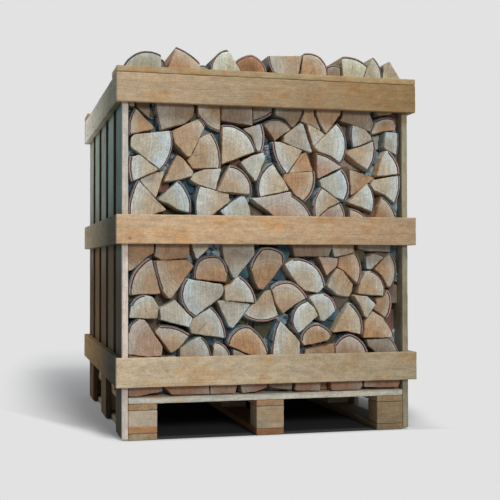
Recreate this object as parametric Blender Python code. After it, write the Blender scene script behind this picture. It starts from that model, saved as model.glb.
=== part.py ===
"""Crate of birch firewood: a square pallet, board walls held by belts, and three rows of split logs.

X runs to the right, Y away from the front and Z up. The origin is on the floor at the middle of the pallet.
"""
import math

import bmesh
import bpy

# Driving dimensions, in metres
PALLET_SIDE = 1.000
BOARD_WIDTH = 0.100
BOARD_THICKNESS = 0.022
BLOCK_SIZE = 0.078
DECK_BOARDS = 6
SIDE_BOARDS = 5
SIDE_BOARD_WIDTH = 0.150
SHORT_BOARD_FOOT = 0.185
LONG_BOARD_FOOT = 0.004
BELT_FEET = {"bottom": 0.180, "middle": 0.662, "top": 1.140}
CAP_WIDTH = 0.120
LOG_LENGTH = 0.330

# Clearances, in metres
JOINT_GAP = 0.0003
ROW_GAP = 0.003
FACE_CLEARANCE = 0.0025
TOP_LOG_SETBACK = 0.015

# Heights and half widths that follow from those
HALF_PALLET = PALLET_SIDE / 2
WALL_FACE = HALF_PALLET + BOARD_THICKNESS
BELT_FACE = WALL_FACE + BOARD_THICKNESS
BLOCK_TOP = BOARD_THICKNESS + BLOCK_SIZE
STRINGER_TOP = BLOCK_TOP + BOARD_THICKNESS
DECK_TOP = STRINGER_TOP + BOARD_THICKNESS
WALL_TOP = BELT_FEET["top"] + BOARD_WIDTH
CAP_TOP = WALL_TOP + BOARD_THICKNESS

# A row of firewood is a core, from which the end of each log stands out by this much
RELIEF = 0.040
CORE_LEFT = -0.485
CORE_RIGHT = 0.462
CORE_TOP_UNDER_CAP = WALL_TOP - 0.012
CORE_STEP = 0.004
ROOT_DEPTH = 0.015
ARC_STEP_HEIGHT = 0.7

COLOURS = {
    "belt_wood": (0.46, 0.32, 0.19),
    "cap_wood": (0.44, 0.32, 0.18),
    "side_wood": (0.50, 0.40, 0.30),
    "pallet_wood": (0.42, 0.33, 0.23),
    "heartwood": (0.46, 0.22, 0.10),
    "birch_row": (0.52, 0.41, 0.29),
    "birch_tan": (0.50, 0.38, 0.26),
    "birch_white": (0.62, 0.58, 0.48),
    "birch_grey": (0.48, 0.45, 0.37),
    "birch_orange": (0.45, 0.22, 0.09),
    "birch_brown": (0.28, 0.18, 0.11),
    "birch_bark": (0.12, 0.09, 0.07),
}

# Log ends as seen from the front, in centimetres: how far the end lies behind the face of the row,
# then its corners as (x, z). A third number is the height of the bark arc from that corner to the next.
UPPER_WINDOW = [
    (0.6, [(-49.7, 103.4, 0.8), (-47.7, 112.5), (-41.3, 106.2), (-41.7, 105.4), (-48.0, 104.0)]),
    (3.0, [(-46.4, 113.2), (-42.4, 109.7), (-42.0, 119.0), (-47.2, 118.8)]),
    (0.4, [(-38.9, 105.4), (-30.2, 107.9), (-27.4, 110.3), (-27.1, 113.5), (-29.5, 118.6),
           (-41.2, 118.6, 0.3)]),
    (0.8, [(-49.0, 99.3), (-48.9, 102.3), (-47.9, 103.4), (-35.0, 105.0, 1.7), (-38.6, 91.7)]),
    (0.5, [(-34.6, 105.0), (-25.2, 109.6, 0.2), (-23.2, 107.1), (-28.3, 96.5), (-29.4, 96.6),
           (-33.7, 101.0)]),
    (1.2, [(-20.6, 105.0, 1.2), (-17.5, 93.0), (-27.3, 92.5), (-29.2, 95.2), (-27.5, 97.0),
           (-24.9, 102.8)]),
    (0.9, [(-17.8, 105.4), (-17.5, 118.4), (-25.6, 117.4), (-25.1, 110.5, 0.9)]),
    (0.7, [(-17.0, 109.4), (-6.0, 108.0), (-6.4, 118.6), (-16.9, 118.2)]),
    (1.4, [(-5.2, 109.2, 0.3), (1.2, 112.3), (1.6, 118.5), (-5.9, 118.5)]),
    (0.2, [(-16.8, 107.6, 2.9), (-5.0, 99.0), (-17.1, 94.2)]),
    (0.8, [(-9.0, 106.6), (-2.5, 108.6, 0.9), (-2.5, 98.9), (-4.2, 99.2), (-6.1, 104.2)]),
    (0.3, [(-10.3, 94.8), (-6.0, 97.2), (-2.2, 98.3), (-1.5, 96.5), (-4.8, 88.5), (-5.4, 88.8)]),
    (0.0, [(-14.1, 93.6, 2.6), (-6.6, 83.8), (-18.8, 84.7)]),
    (1.0, [(-28.2, 88.5), (-26.9, 90.6), (-23.2, 92.0), (-17.4, 92.4), (-19.3, 85.3), (-25.2, 86.9)]),
    (0.6, [(-32.7, 96.7), (-30.6, 95.2), (-27.4, 91.3), (-27.7, 89.9), (-32.0, 88.5), (-37.4, 87.7),
           (-34.2, 94.3)]),
    (1.8, [(-45.7, 88.1), (-40.0, 90.8), (-37.3, 91.2), (-40.2, 82.1)]),
    (0.2, [(-49.5, 95.6), (-46.0, 96.3), (-39.8, 91.6), (-46.4, 88.6), (-49.0, 87.4, 0.5)]),
    (0.5, [(-46.7, 88.0), (-40.4, 81.3), (-36.9, 78.0), (-44.0, 75.3), (-49.8, 73.0, 1.2)]),
    (0.3, [(-39.6, 81.4), (-32.4, 87.9, 1.5), (-28.2, 77.0), (-33.2, 78.3), (-36.0, 80.2)]),
    (0.4, [(-25.3, 86.2), (-19.3, 84.6), (-14.8, 83.7), (-14.6, 81.1), (-19.6, 77.2), (-25.5, 73.0, 1.3)]),
    (0.7, [(-9.9, 83.2), (-9.0, 83.0), (-7.4, 79.5), (-6.5, 75.0), (-12.0, 73.0), (-17.6, 77.7),
           (-14.0, 80.3)]),
    (0.3, [(-6.3, 82.2), (0.2, 83.2), (7.8, 84.8), (8.8, 83.4, 1.4), (16.2, 74.2), (4.0, 74.6),
           (-1.2, 78.6)]),
    (5.0, [(-8.0, 82.2), (-6.9, 81.4), (-1.6, 78.0), (2.5, 74.8), (-5.7, 74.8)]),
    (0.1, [(0.8, 94.8), (5.0, 89.0), (7.2, 85.5), (0.1, 83.9), (-3.9, 83.0, 2.2)]),
    (0.8, [(-1.8, 108.8, 2.3), (8.3, 107.1), (4.4, 104.7), (2.3, 102.9)]),
    (0.6, [(8.7, 107.8), (10.9, 110.0), (12.3, 113.3), (12.5, 118.5), (3.0, 118.5), (2.6, 112.1),
           (5.8, 110.9)]),
    (1.0, [(12.1, 110.2), (13.2, 112.6), (13.5, 118.3), (17.0, 118.2), (16.9, 112.4), (19.2, 107.2),
           (15.8, 109.0)]),
    (0.4, [(17.9, 112.6), (18.0, 118.4), (26.8, 118.5), (26.6, 112.9), (21.3, 106.1), (19.5, 109.1)]),
    (0.5, [(14.2, 109.2), (18.6, 106.9), (20.8, 105.5), (16.5, 101.4), (15.9, 103.5)]),
    (0.3, [(11.7, 109.3), (12.5, 108.7), (15.8, 99.1), (13.4, 99.7), (9.0, 101.1), (5.3, 102.6),
           (5.7, 104.6)]),
    (0.4, [(1.1, 102.2), (3.9, 102.3), (8.9, 100.8), (12.2, 99.5), (10.8, 97.4), (6.8, 91.7),
           (5.4, 91.5, 0.9)]),
    (0.0, [(16.7, 101.0), (21.3, 105.4), (25.6, 109.5, 2.6), (26.8, 95.5), (22.4, 98.3), (18.1, 99.6)]),
    (1.2, [(27.1, 110.9), (28.0, 112.2), (28.3, 118.5), (38.9, 118.3), (38.6, 113.0), (39.7, 110.2),
           (38.7, 107.5), (36.7, 108.2), (31.1, 109.8)]),
    (0.7, [(31.2, 109.4), (36.4, 107.7), (38.6, 105.4), (38.8, 104.2), (33.5, 101.9), (31.4, 101.3, 0.4)]),
    (0.2, [(29.2, 98.7), (30.4, 100.1), (39.7, 103.4, 1.2), (37.4, 93.2), (33.5, 95.6)]),
    (0.5, [(38.9, 106.4), (43.0, 107.5), (47.7, 108.0), (48.0, 109.4), (46.9, 112.2, 0.7), (40.4, 111.0)]),
    (0.6, [(44.4, 107.1), (49.2, 106.9, 0.2), (48.7, 98.9), (46.4, 100.1), (43.9, 101.4)]),
    (5.0, [(40.3, 105.9), (43.6, 106.8), (43.3, 101.6), (40.9, 101.0)]),
    (0.1, [(40.6, 91.2), (42.6, 97.6), (44.2, 100.3), (45.8, 99.7, 0.9), (49.3, 92.2)]),
    (0.5, [(38.6, 87.9), (39.8, 89.7), (49.6, 91.5, 0.7), (48.0, 81.5), (44.0, 84.5), (40.0, 86.0)]),
    (1.6, [(30.9, 93.3), (40.3, 90.5), (37.8, 88.8), (31.2, 84.2)]),
    (0.3, [(29.8, 81.5), (37.2, 88.2, 1.3), (39.0, 78.2), (34.5, 80.0)]),
    (0.6, [(30.4, 73.2), (30.6, 79.4, 1.3), (38.4, 73.2)]),
    (0.8, [(39.6, 73.2), (42.8, 83.8, 1.5), (48.9, 73.2)]),
    (0.2, [(18.9, 89.1), (27.4, 93.0, 1.8), (28.6, 82.1), (24.8, 83.4), (19.4, 87.0)]),
    (0.5, [(19.1, 86.6), (24.6, 83.0), (26.4, 81.6), (22.4, 79.8), (18.2, 76.4), (17.2, 75.0, 1.4)]),
    (0.9, [(18.7, 76.0), (22.6, 79.3), (26.9, 81.1, 0.8), (28.4, 73.4), (19.5, 73.2)]),
    (0.1, [(5.6, 91.0), (16.7, 92.2, 1.6), (13.2, 81.5), (9.3, 84.2), (5.4, 89.2)]),
    (0.9, [(7.6, 91.6), (11.8, 98.0), (13.9, 99.1), (16.2, 92.6)]),
    (0.4, [(17.9, 99.0, 0.5), (26.6, 95.1), (26.7, 93.9), (22.5, 92.0), (18.1, 89.8)]),
    (4.5, [(28.0, 97.0), (29.1, 97.5), (36.0, 93.2), (31.2, 94.0), (27.6, 94.2)]),
    (0.8, [(-49.6, 113.6), (-47.9, 113.2), (-47.9, 118.6), (-49.4, 118.8)]),
    (0.6, [(41.2, 113.3), (46.5, 114.0), (49.3, 117.0), (49.0, 118.6), (40.4, 118.6)]),
]
LOWER_WINDOW = [
    (0.6, [(-49.8, 57.2), (-48.6, 57.4), (-43.2, 62.1), (-41.2, 63.3), (-41.4, 70.4), (-49.9, 70.6)]),
    (0.9, [(-40.6, 62.2), (-38.3, 60.9), (-28.8, 61.6), (-28.5, 70.4), (-39.4, 70.2)]),
    (1.5, [(-27.4, 66.0), (-25.8, 61.1), (-21.7, 65.0), (-21.5, 70.3), (-27.7, 70.4)]),
    (0.3, [(-49.6, 49.2), (-38.9, 49.4), (-40.5, 55.0), (-41.8, 60.4), (-43.0, 61.4, 2.0)]),
    (0.5, [(-40.9, 60.3), (-29.6, 60.8), (-27.2, 58.8), (-30.3, 54.6), (-34.8, 48.0), (-35.8, 47.9),
           (-38.5, 51.2, 0.3)]),
    (0.7, [(-26.9, 54.4), (-15.8, 53.3), (-15.1, 57.0, 0.6), (-18.0, 61.9, 0.7), (-25.0, 61.0, 0.8)]),
    (0.4, [(-16.9, 64.9), (-16.1, 60.7), (-13.0, 54.8), (-12.0, 54.8), (-5.4, 62.9), (-6.2, 70.4),
           (-16.6, 70.5)]),
    (0.2, [(-2.3, 50.6), (1.7, 55.4), (5.4, 60.3, 0.9), (3.2, 64.4, 0.5), (-2.8, 65.0, 0.6), (-6.8, 58.8),
           (-5.6, 54.2), (-4.0, 51.1)]),
    (0.3, [(-29.9, 54.2), (-17.2, 52.3), (-16.7, 50.4), (-17.2, 48.4), (-27.1, 41.4, 3.0)]),
    (0.1, [(-16.1, 51.2), (-16.0, 46.9), (-8.8, 46.4), (-4.9, 46.1, 1.2), (-10.4, 54.9), (-12.3, 54.3),
           (-13.6, 52.4)]),
    (0.2, [(-49.4, 41.3), (-40.0, 41.0), (-39.6, 44.8), (-41.6, 48.2), (-44.8, 48.8, 0.6), (-48.8, 45.8)]),
    (0.0, [(-38.9, 44.2), (-38.7, 40.6), (-34.0, 39.4), (-28.9, 37.9), (-27.8, 40.8), (-33.8, 46.8)]),
    (0.4, [(-20.8, 44.4, 1.2), (-15.9, 34.0), (-27.8, 35.7), (-28.5, 38.0), (-27.2, 40.6)]),
    (0.6, [(-18.7, 46.8), (-16.6, 46.6), (-7.1, 45.4), (-10.2, 40.8), (-13.3, 37.4), (-14.8, 38.2)]),
    (0.5, [(-9.0, 41.4, 1.7), (3.2, 40.9), (1.2, 47.2), (0.4, 50.2), (-1.6, 49.7), (-4.2, 46.1),
           (-6.6, 44.9)]),
    (0.3, [(-49.9, 29.0), (-42.5, 28.0), (-38.5, 28.2), (-38.3, 31.4), (-44.3, 40.4), (-46.8, 40.7, 0.7),
           (-49.9, 36.5)]),
    (0.8, [(-40.3, 36.3), (-38.4, 38.3, 0.9), (-28.6, 35.3), (-32.4, 30.6), (-34.9, 29.1)]),
    (0.6, [(-31.9, 23.6), (-31.8, 30.5), (-25.5, 34.2), (-24.0, 34.1, 0.7), (-20.8, 26.5), (-21.5, 23.6)]),
    (1.5, [(-20.0, 24.0), (-19.8, 31.3), (-18.6, 32.6, 0.9), (-13.8, 27.5), (-14.5, 24.0)]),
    (0.4, [(-15.0, 32.3, 0.6), (-11.6, 37.0, 0.4), (-7.2, 37.7, 1.0), (-0.5, 29.3), (-1.6, 27.4),
           (-6.5, 27.8), (-14.2, 31.1)]),
    (1.0, [(8.9, 65.3), (9.6, 62.2), (22.2, 62.3), (23.4, 65.0), (23.5, 70.4), (8.6, 70.4)]),
    (1.3, [(24.1, 66.0), (24.8, 62.0), (32.2, 63.6), (31.5, 70.4), (24.2, 70.4)]),
    (0.1, [(5.8, 59.3), (9.2, 61.3, 3.0), (20.6, 52.0), (18.0, 49.4), (13.5, 50.1), (10.4, 52.4),
           (8.4, 55.0)]),
    (0.8, [(18.6, 61.8), (25.6, 61.5), (25.2, 58.7), (21.6, 55.5), (19.9, 59.2)]),
    (0.4, [(26.3, 61.6), (32.5, 63.2, 1.6), (33.4, 52.2), (28.5, 56.7), (25.7, 58.4)]),
    (1.0, [(36.6, 61.9), (39.8, 63.1), (43.2, 61.8), (38.7, 57.7), (37.0, 57.9)]),
    (0.6, [(39.9, 57.6), (44.0, 61.7), (46.2, 63.3, 1.9), (46.3, 51.2), (44.9, 51.4), (42.7, 55.4)]),
    (0.5, [(25.5, 57.8), (27.6, 56.8), (31.2, 52.1), (30.8, 49.5), (29.7, 47.8), (25.4, 48.6), (21.8, 51.4),
           (23.2, 54.8)]),
    (0.2, [(36.1, 56.6), (38.4, 56.8, 1.9), (43.2, 48.1), (33.2, 48.9), (34.2, 53.0)]),
    (0.3, [(1.0, 51.4, 1.0), (8.7, 52.9, 0.6), (13.9, 47.6), (9.6, 45.5), (5.0, 42.1), (2.3, 46.2)]),
    (0.1, [(13.6, 46.5), (16.3, 44.0), (17.8, 41.2), (15.4, 39.2), (10.3, 34.9, 3.6)]),
    (0.3, [(14.9, 47.5), (16.9, 48.4), (20.8, 48.8, 0.9), (24.9, 43.3), (20.3, 39.3), (18.8, 39.6),
           (18.4, 42.0), (16.8, 44.8)]),
    (0.0, [(29.6, 45.2), (30.4, 45.2, 1.7), (34.6, 34.4), (28.2, 35.7), (23.4, 35.3)]),
    (0.2, [(31.9, 48.1), (36.6, 47.8), (39.8, 44.8), (36.5, 40.3), (35.7, 41.0), (34.2, 44.5)]),
    (0.7, [(39.3, 43.5), (40.7, 45.0), (40.2, 46.9), (44.0, 47.6), (44.9, 50.1, 1.6), (44.4, 39.9)]),
    (0.5, [(38.9, 42.4), (43.5, 39.5, 0.5), (47.0, 33.1), (35.5, 33.1), (35.9, 38.6)]),
    (0.2, [(3.3, 39.8), (8.2, 35.2), (11.1, 31.8), (10.9, 26.0), (6.0, 23.8), (0.9, 25.8, 0.9)]),
    (0.3, [(11.6, 33.0, 0.5), (14.1, 37.1, 0.4), (18.2, 38.2, 0.6), (23.1, 34.7), (21.4, 32.3),
           (12.8, 30.8)]),
    (1.2, [(13.4, 25.5), (13.7, 29.2), (24.3, 31.0), (24.6, 25.0)]),
    (0.5, [(25.0, 24.0), (24.7, 31.3, 0.5), (28.8, 34.3, 0.3), (32.0, 33.8, 0.7), (36.8, 28.3),
           (36.5, 24.0)]),
    (0.8, [(37.3, 30.2), (37.0, 32.2), (46.0, 32.5, 0.8), (49.4, 24.6), (41.0, 24.2), (39.8, 28.2)]),
    (2.2, [(34.3, 65.0), (38.5, 64.3), (46.5, 64.1), (47.2, 70.3), (34.0, 70.4)]),
    (1.0, [(-49.6, 23.2), (-33.2, 23.0), (-33.4, 27.8), (-42.5, 27.4), (-49.5, 28.4)]),
    (0.8, [(-13.0, 23.2), (-0.6, 23.0), (-0.9, 26.6), (-6.6, 27.2), (-12.9, 29.6)]),
    (1.6, [(-5.0, 67.0), (0.0, 66.4), (7.9, 66.6), (7.8, 70.4), (-5.3, 70.4)]),
]
BOTTOM_COURSE = [
    (0.4, [(-49.6, 14.8), (-46.8, 14.7), (-38.2, 16.3), (-38.8, 22.3), (-49.4, 22.6)]),
    (0.6, [(-34.6, 14.9), (-21.7, 14.8), (-22.0, 22.2), (-37.0, 22.5), (-37.3, 17.8)]),
    (0.3, [(-21.2, 14.7), (-12.6, 14.9), (-11.7, 17.5), (-12.5, 22.4), (-21.3, 22.6)]),
    (0.5, [(-9.9, 14.8), (-5.0, 15.1), (-1.0, 16.6), (-0.6, 22.3), (-10.8, 22.4)]),
    (0.8, [(0.2, 16.6), (3.2, 16.0), (8.2, 15.2), (8.6, 22.0), (0.4, 22.3)]),
    (0.4, [(9.6, 15.1), (18.6, 14.7), (19.2, 22.2), (10.0, 22.5)]),
    (3.0, [(20.0, 14.7), (22.2, 14.7), (22.0, 22.0), (20.2, 22.2)]),
    (0.2, [(22.9, 14.8), (33.4, 14.7), (34.6, 16.0), (34.0, 22.4), (23.0, 22.2)]),
    (0.5, [(35.6, 15.5), (48.6, 15.0), (49.4, 17.2), (48.8, 22.4), (36.0, 22.2)]),
]
COURSE_UNDER_CAP = [
    (1.0, [(-48.6, 119.9), (-38.8, 119.9), (-37.6, 123.6), (-49.0, 123.6)]),
    (0.6, [(-37.9, 119.9), (-26.9, 119.8), (-26.4, 123.6), (-36.8, 123.6)]),
    (0.9, [(-26.0, 119.2), (-15.6, 119.3), (-14.6, 123.6), (-25.8, 123.6)]),
    (0.5, [(-14.8, 119.4), (-2.9, 119.3), (-3.2, 123.6), (-13.9, 123.6)]),
    (1.0, [(-2.2, 119.4), (9.0, 119.3), (9.8, 123.6), (-2.4, 123.6)]),
    (0.7, [(9.9, 119.4), (20.8, 119.2), (20.2, 123.6), (10.6, 123.6)]),
    (0.9, [(21.6, 119.3), (32.6, 119.3), (33.3, 123.6), (21.0, 123.6)]),
    (0.6, [(34.0, 119.4), (49.2, 119.2), (48.9, 123.6), (34.4, 123.6)]),
]
# The logs on the front cap, with their finish, and with heights counted from the top of the cap
TOP_LOGS = [
    ("grey", 0.2, [(-51.8, 0.0, 3.0), (-38.8, 4.7), (-38.6, 0.0)]),
    ("bark", 4.0, [(-38.0, 0.0), (-38.2, 4.3, 0.5), (-36.4, 2.3), (-36.8, 0.0)]),
    ("tan", 0.0, [(-36.2, 0.0), (-33.5, 7.6, 0.6), (-25.3, 2.7), (-24.7, 0.0)]),
    ("brown", 3.0, [(-24.2, 0.0), (-24.6, 2.3, 0.4), (-21.6, 1.8), (-21.4, 0.0)]),
    ("white", 0.3, [(-21.0, 0.0, 1.9), (-15.3, 7.7), (-13.9, 6.3), (-12.3, 3.5), (-10.2, 0.0)]),
    ("orange", 0.6, [(-9.8, 0.0), (-12.0, 4.0, 0.5), (-6.3, 6.5, 1.4), (-0.7, 0.0)]),
    ("tan", 0.2, [(1.9, 0.0, 0.5), (-0.4, 6.3), (12.2, 6.9), (10.7, 0.0)]),
    ("tan", 0.4, [(11.6, 0.0), (13.0, 7.9, 3.2), (22.0, 0.0)]),
    ("brown", 1.6, [(22.4, 0.0), (22.8, 4.2, 0.5), (26.9, 4.3), (27.2, 0.0)]),
    ("white", 0.1, [(27.6, 0.0), (27.3, 7.4, 1.0), (36.9, 4.7), (35.2, 0.0)]),
    ("grey", 0.5, [(35.7, 0.0), (37.8, 4.9), (39.4, 8.0, 1.0), (42.8, 0.0)]),
    ("grey", 0.3, [(43.2, 0.0), (43.4, 4.9), (45.7, 6.6), (50.0, 0.0)]),
]
# The two windows between the belts are alike, so their logs can change places
WINDOW_PITCH = 48.0


def raised(logs, rise):
    """The same log ends, moved up by rise centimetres."""
    return [(recess, [(x, z + rise, *arc) for x, z, *arc in corners]) for recess, corners in logs]


def mirrored(logs):
    """The same log ends with left and right exchanged."""
    return [(recess, [(-x, z, *arc) for x, z, *arc in corners]) for recess, corners in logs]


def arc_points(start, end, height, outward):
    """Points between start and end on a circular arc that rises to height on the outward side."""
    dx, dz = end[0] - start[0], end[1] - start[1]
    chord = math.hypot(dx, dz)
    normal = (outward * dz / chord, -outward * dx / chord)
    radius = (chord * chord / 4 + height * height) / (2 * height)
    half_angle = math.asin(min(1.0, chord / 2 / radius))
    if height > radius:
        half_angle = math.pi - half_angle
    centre = [(a + b) / 2 - n * (radius - height) for a, b, n in zip(start, end, normal)]
    steps = 3 if height > ARC_STEP_HEIGHT else 2
    points = []
    for step in range(1, steps):
        angle = (2 * step / steps - 1) * half_angle
        out, along = radius * math.cos(angle), radius * math.sin(angle) / chord
        points.append((centre[0] + normal[0] * out + dx * along, centre[1] + normal[1] * out + dz * along))
    return points


def outline(corners):
    """The end of a log as a closed list of (x, z) points in metres."""
    following = corners[1:] + corners[:1]
    area = sum(a[0] * b[1] - b[0] * a[1] for a, b in zip(corners, following))
    points = []
    for corner, after in zip(corners, following):
        points.append(corner[:2])
        if len(corner) > 2:
            points += arc_points(corner[:2], after[:2], corner[2], math.copysign(1, area))
    return [(x / 100, z / 100) for x, z in points]


def new_object(name, bm, material, collection):
    """Closes a bmesh into a named object with its faces turned outwards."""
    bmesh.ops.recalc_face_normals(bm, faces=bm.faces)
    mesh = bpy.data.meshes.new(name)
    bm.to_mesh(mesh)
    bm.free()
    obj = bpy.data.objects.new(name, mesh)
    collection.objects.link(obj)
    if material:
        mesh.materials.append(material)
    return obj


def add_box(bm, low, high):
    """A box between two corners."""
    cube = bmesh.ops.create_cube(bm, size=1.0)["verts"]
    for axis in range(3):
        for vert in cube:
            vert.co[axis] = high[axis] if vert.co[axis] > 0 else low[axis]


def add_prism(bm, points, start, end):
    """An outline in X and Z drawn out along Y from start to end."""
    face = bm.faces.new([bm.verts.new((x, start, z)) for x, z in points])
    made = bmesh.ops.extrude_face_region(bm, geom=[face])
    moved = [item for item in made["geom"] if isinstance(item, bmesh.types.BMVert)]
    bmesh.ops.translate(bm, verts=moved, vec=(0, end - start, 0))


def board(name, x, y, z, material, collection):
    """A plank that fills three ranges, less half a joint gap on each side except the floor's."""
    half_gap = JOINT_GAP / 2
    low = [limits[0] + half_gap for limits in (x, y, z)]
    high = [limits[1] - half_gap for limits in (x, y, z)]
    if z[0] == 0:
        low[2] = 0
    bm = bmesh.new()
    add_box(bm, low, high)
    return new_object(name, bm, material, collection)


def make_materials():
    """One plain finish for each kind of wood."""
    made = {}
    for name, colour in COLOURS.items():
        material = bpy.data.materials.new(name)
        material.use_nodes = True
        shader = material.node_tree.nodes["Principled BSDF"]
        shader.inputs["Base Color"].default_value = (*colour, 1)
        shader.inputs["Roughness"].default_value = 0.75
        shader.inputs["Metallic"].default_value = 0.0
        made[name] = material
    return made


def centred(middle, width):
    """The range of the given width about a middle."""
    return (middle - width / 2, middle + width / 2)


def build_pallet(materials, collection):
    """Runners on the floor, blocks, stringers and the deck boards."""
    across = {"left": BOARD_WIDTH / 2 - HALF_PALLET, "middle": 0.0, "right": HALF_PALLET - BOARD_WIDTH / 2}
    along = {"front": BLOCK_SIZE / 2 - HALF_PALLET, "middle": 0.0, "rear": HALF_PALLET - BLOCK_SIZE / 2}
    whole = (-HALF_PALLET, HALF_PALLET)
    wood = materials["pallet_wood"]
    for side, x in across.items():
        width = centred(x, BOARD_WIDTH)
        runner_wood = materials["heartwood"] if side == "middle" else wood
        board(f"runner_{side}", width, whole, (0, BOARD_THICKNESS), runner_wood, collection)
        for place, y in along.items():
            height = (BOARD_THICKNESS, BLOCK_TOP)
            board(f"block_{side}_{place}", width, centred(y, BLOCK_SIZE), height, wood, collection)
        board(f"stringer_{side}", width, whole, (BLOCK_TOP, STRINGER_TOP), runner_wood, collection)
    pitch = (PALLET_SIDE - BOARD_WIDTH) / (DECK_BOARDS - 1)
    for number in range(DECK_BOARDS):
        y = BOARD_WIDTH / 2 - HALF_PALLET + number * pitch
        name = f"deck_board_{number + 1}"
        board(name, whole, centred(y, BOARD_WIDTH), (STRINGER_TOP, DECK_TOP), wood, collection)


def build_walls(materials, collection):
    """Upright boards along the left and right sides. Every other one is a foot that reaches the floor."""
    pitch = (PALLET_SIDE - SIDE_BOARD_WIDTH) / (SIDE_BOARDS - 1)
    for side, sign in (("left", -1), ("right", 1)):
        x = sorted((sign * HALF_PALLET, sign * WALL_FACE))
        for number in range(SIDE_BOARDS):
            y = centred(SIDE_BOARD_WIDTH / 2 - HALF_PALLET + number * pitch, SIDE_BOARD_WIDTH)
            foot = SHORT_BOARD_FOOT if number % 2 else LONG_BOARD_FOOT
            name = f"side_board_{side}_{number + 1}"
            board(name, x, y, (foot, WALL_TOP), materials["side_wood"], collection)


def build_belts(materials, collection):
    """Three belts round the crate, whose front and rear boards cover the side ones' ends, and two caps."""
    whole = (-BELT_FACE, BELT_FACE)
    between = (-HALF_PALLET, HALF_PALLET)
    ranges = {
        "front": (whole, (-WALL_FACE, -HALF_PALLET)),
        "rear": (whole, (HALF_PALLET, WALL_FACE)),
        "left": ((-BELT_FACE, -WALL_FACE), between),
        "right": ((WALL_FACE, BELT_FACE), between),
    }
    for level, foot in BELT_FEET.items():
        z = (foot, foot + BOARD_WIDTH)
        for side, (x, y) in ranges.items():
            board(f"belt_{side}_{level}", x, y, z, materials["belt_wood"], collection)
    top = (WALL_TOP, CAP_TOP)
    board("cap_front", whole, (-WALL_FACE, CAP_WIDTH - WALL_FACE), top, materials["cap_wood"], collection)
    board("cap_rear", whole, (WALL_FACE - CAP_WIDTH, WALL_FACE), top, materials["cap_wood"], collection)


def row_object(name, core, logs, materials, collections):
    """Joins a row's core and its logs into one solid."""
    row = new_object(name, core, materials["birch_row"], collections["part"])
    cutter = new_object(f"{name}_logs", logs, None, collections["guides"])
    cutter.hide_render = True
    cutter.display_type = "WIRE"
    join = row.modifiers.new("logs", "BOOLEAN")
    join.operation = "UNION"
    join.solver = "EXACT"
    join.object = cutter
    return row


def end_row(name, direction, logs, crown, materials, collections):
    """A row at the front (direction -1) or rear (1), whose log ends stand out of its core."""
    face = direction * (HALF_PALLET - FACE_CLEARANCE)
    inner = direction * (LOG_LENGTH / 2 + ROW_GAP)
    core_face = face - direction * RELIEF
    root = core_face - direction * ROOT_DEPTH
    cap_edge = direction * (WALL_FACE - CAP_WIDTH - CORE_STEP)
    rise = CORE_STEP if crown else 0.0
    foot, top = DECK_TOP + JOINT_GAP, CAP_TOP + rise
    step = [(core_face, foot), (core_face, CORE_TOP_UNDER_CAP), (cap_edge, CORE_TOP_UNDER_CAP)]
    step += [(cap_edge, top), (inner, top), (inner, foot)]
    core = bmesh.new()
    side = core.faces.new([core.verts.new((CORE_LEFT, y, z)) for y, z in step])
    made = bmesh.ops.extrude_face_region(core, geom=[side])
    moved = [item for item in made["geom"] if isinstance(item, bmesh.types.BMVert)]
    bmesh.ops.translate(core, verts=moved, vec=(CORE_RIGHT - CORE_LEFT, 0, 0))
    ends = bmesh.new()
    for recess, corners in logs:
        points = outline(corners)
        start = face - direction * recess / 100
        if abs(start) <= abs(core_face):
            continue
        at_side = min(x for x, _ in points) < CORE_LEFT or max(x for x, _ in points) > CORE_RIGHT
        under_cap = max(z for _, z in points) > CORE_TOP_UNDER_CAP
        end = inner + direction * FACE_CLEARANCE if at_side else root
        if under_cap and not at_side:
            end = cap_edge - direction * ROOT_DEPTH
        add_prism(ends, points, start, end)
    for recess, corners in crown:
        start = face - direction * recess / 100
        add_prism(ends, outline(corners), start, inner + direction * FACE_CLEARANCE)
    return row_object(name, core, ends, materials, collections)


def middle_row(name, logs, crown, materials, collections):
    """The row between the others: a core with the logs of its two sides and of its top."""
    half = LOG_LENGTH / 2
    left, right = -CORE_RIGHT, -CORE_LEFT
    core = bmesh.new()
    add_box(core, (left, -half, DECK_TOP + JOINT_GAP), (right, half, CAP_TOP + CORE_STEP))
    ends = bmesh.new()
    for _, corners in logs:
        points = outline(corners)
        if min(x for x, _ in points) < left or max(x for x, _ in points) > right:
            add_prism(ends, points, FACE_CLEARANCE - half, half - FACE_CLEARANCE)
    for _, corners in crown:
        add_prism(ends, outline(corners), FACE_CLEARANCE - half, half - FACE_CLEARANCE)
    return row_object(name, core, ends, materials, collections)


def build_top_logs(materials, collection):
    """The logs that lie on the front cap, each a piece of its own."""
    rest = 100 * (CAP_TOP + JOINT_GAP)
    face = FACE_CLEARANCE - HALF_PALLET
    for number, (finish, recess, corners) in enumerate(TOP_LOGS, 1):
        start = face + recess / 100
        end = start + LOG_LENGTH - TOP_LOG_SETBACK
        bm = bmesh.new()
        points = [(x, z + rest / 100) for x, z in outline(corners)]
        add_prism(bm, points, start, min(end, -LOG_LENGTH / 2 - ROW_GAP))
        new_object(f"top_log_{number:02d}", bm, materials[f"birch_{finish}"], collection)


def clear_scene():
    """Removes what the scene starts with."""
    for obj in list(bpy.data.objects):
        bpy.data.objects.remove(obj, do_unlink=True)


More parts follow.
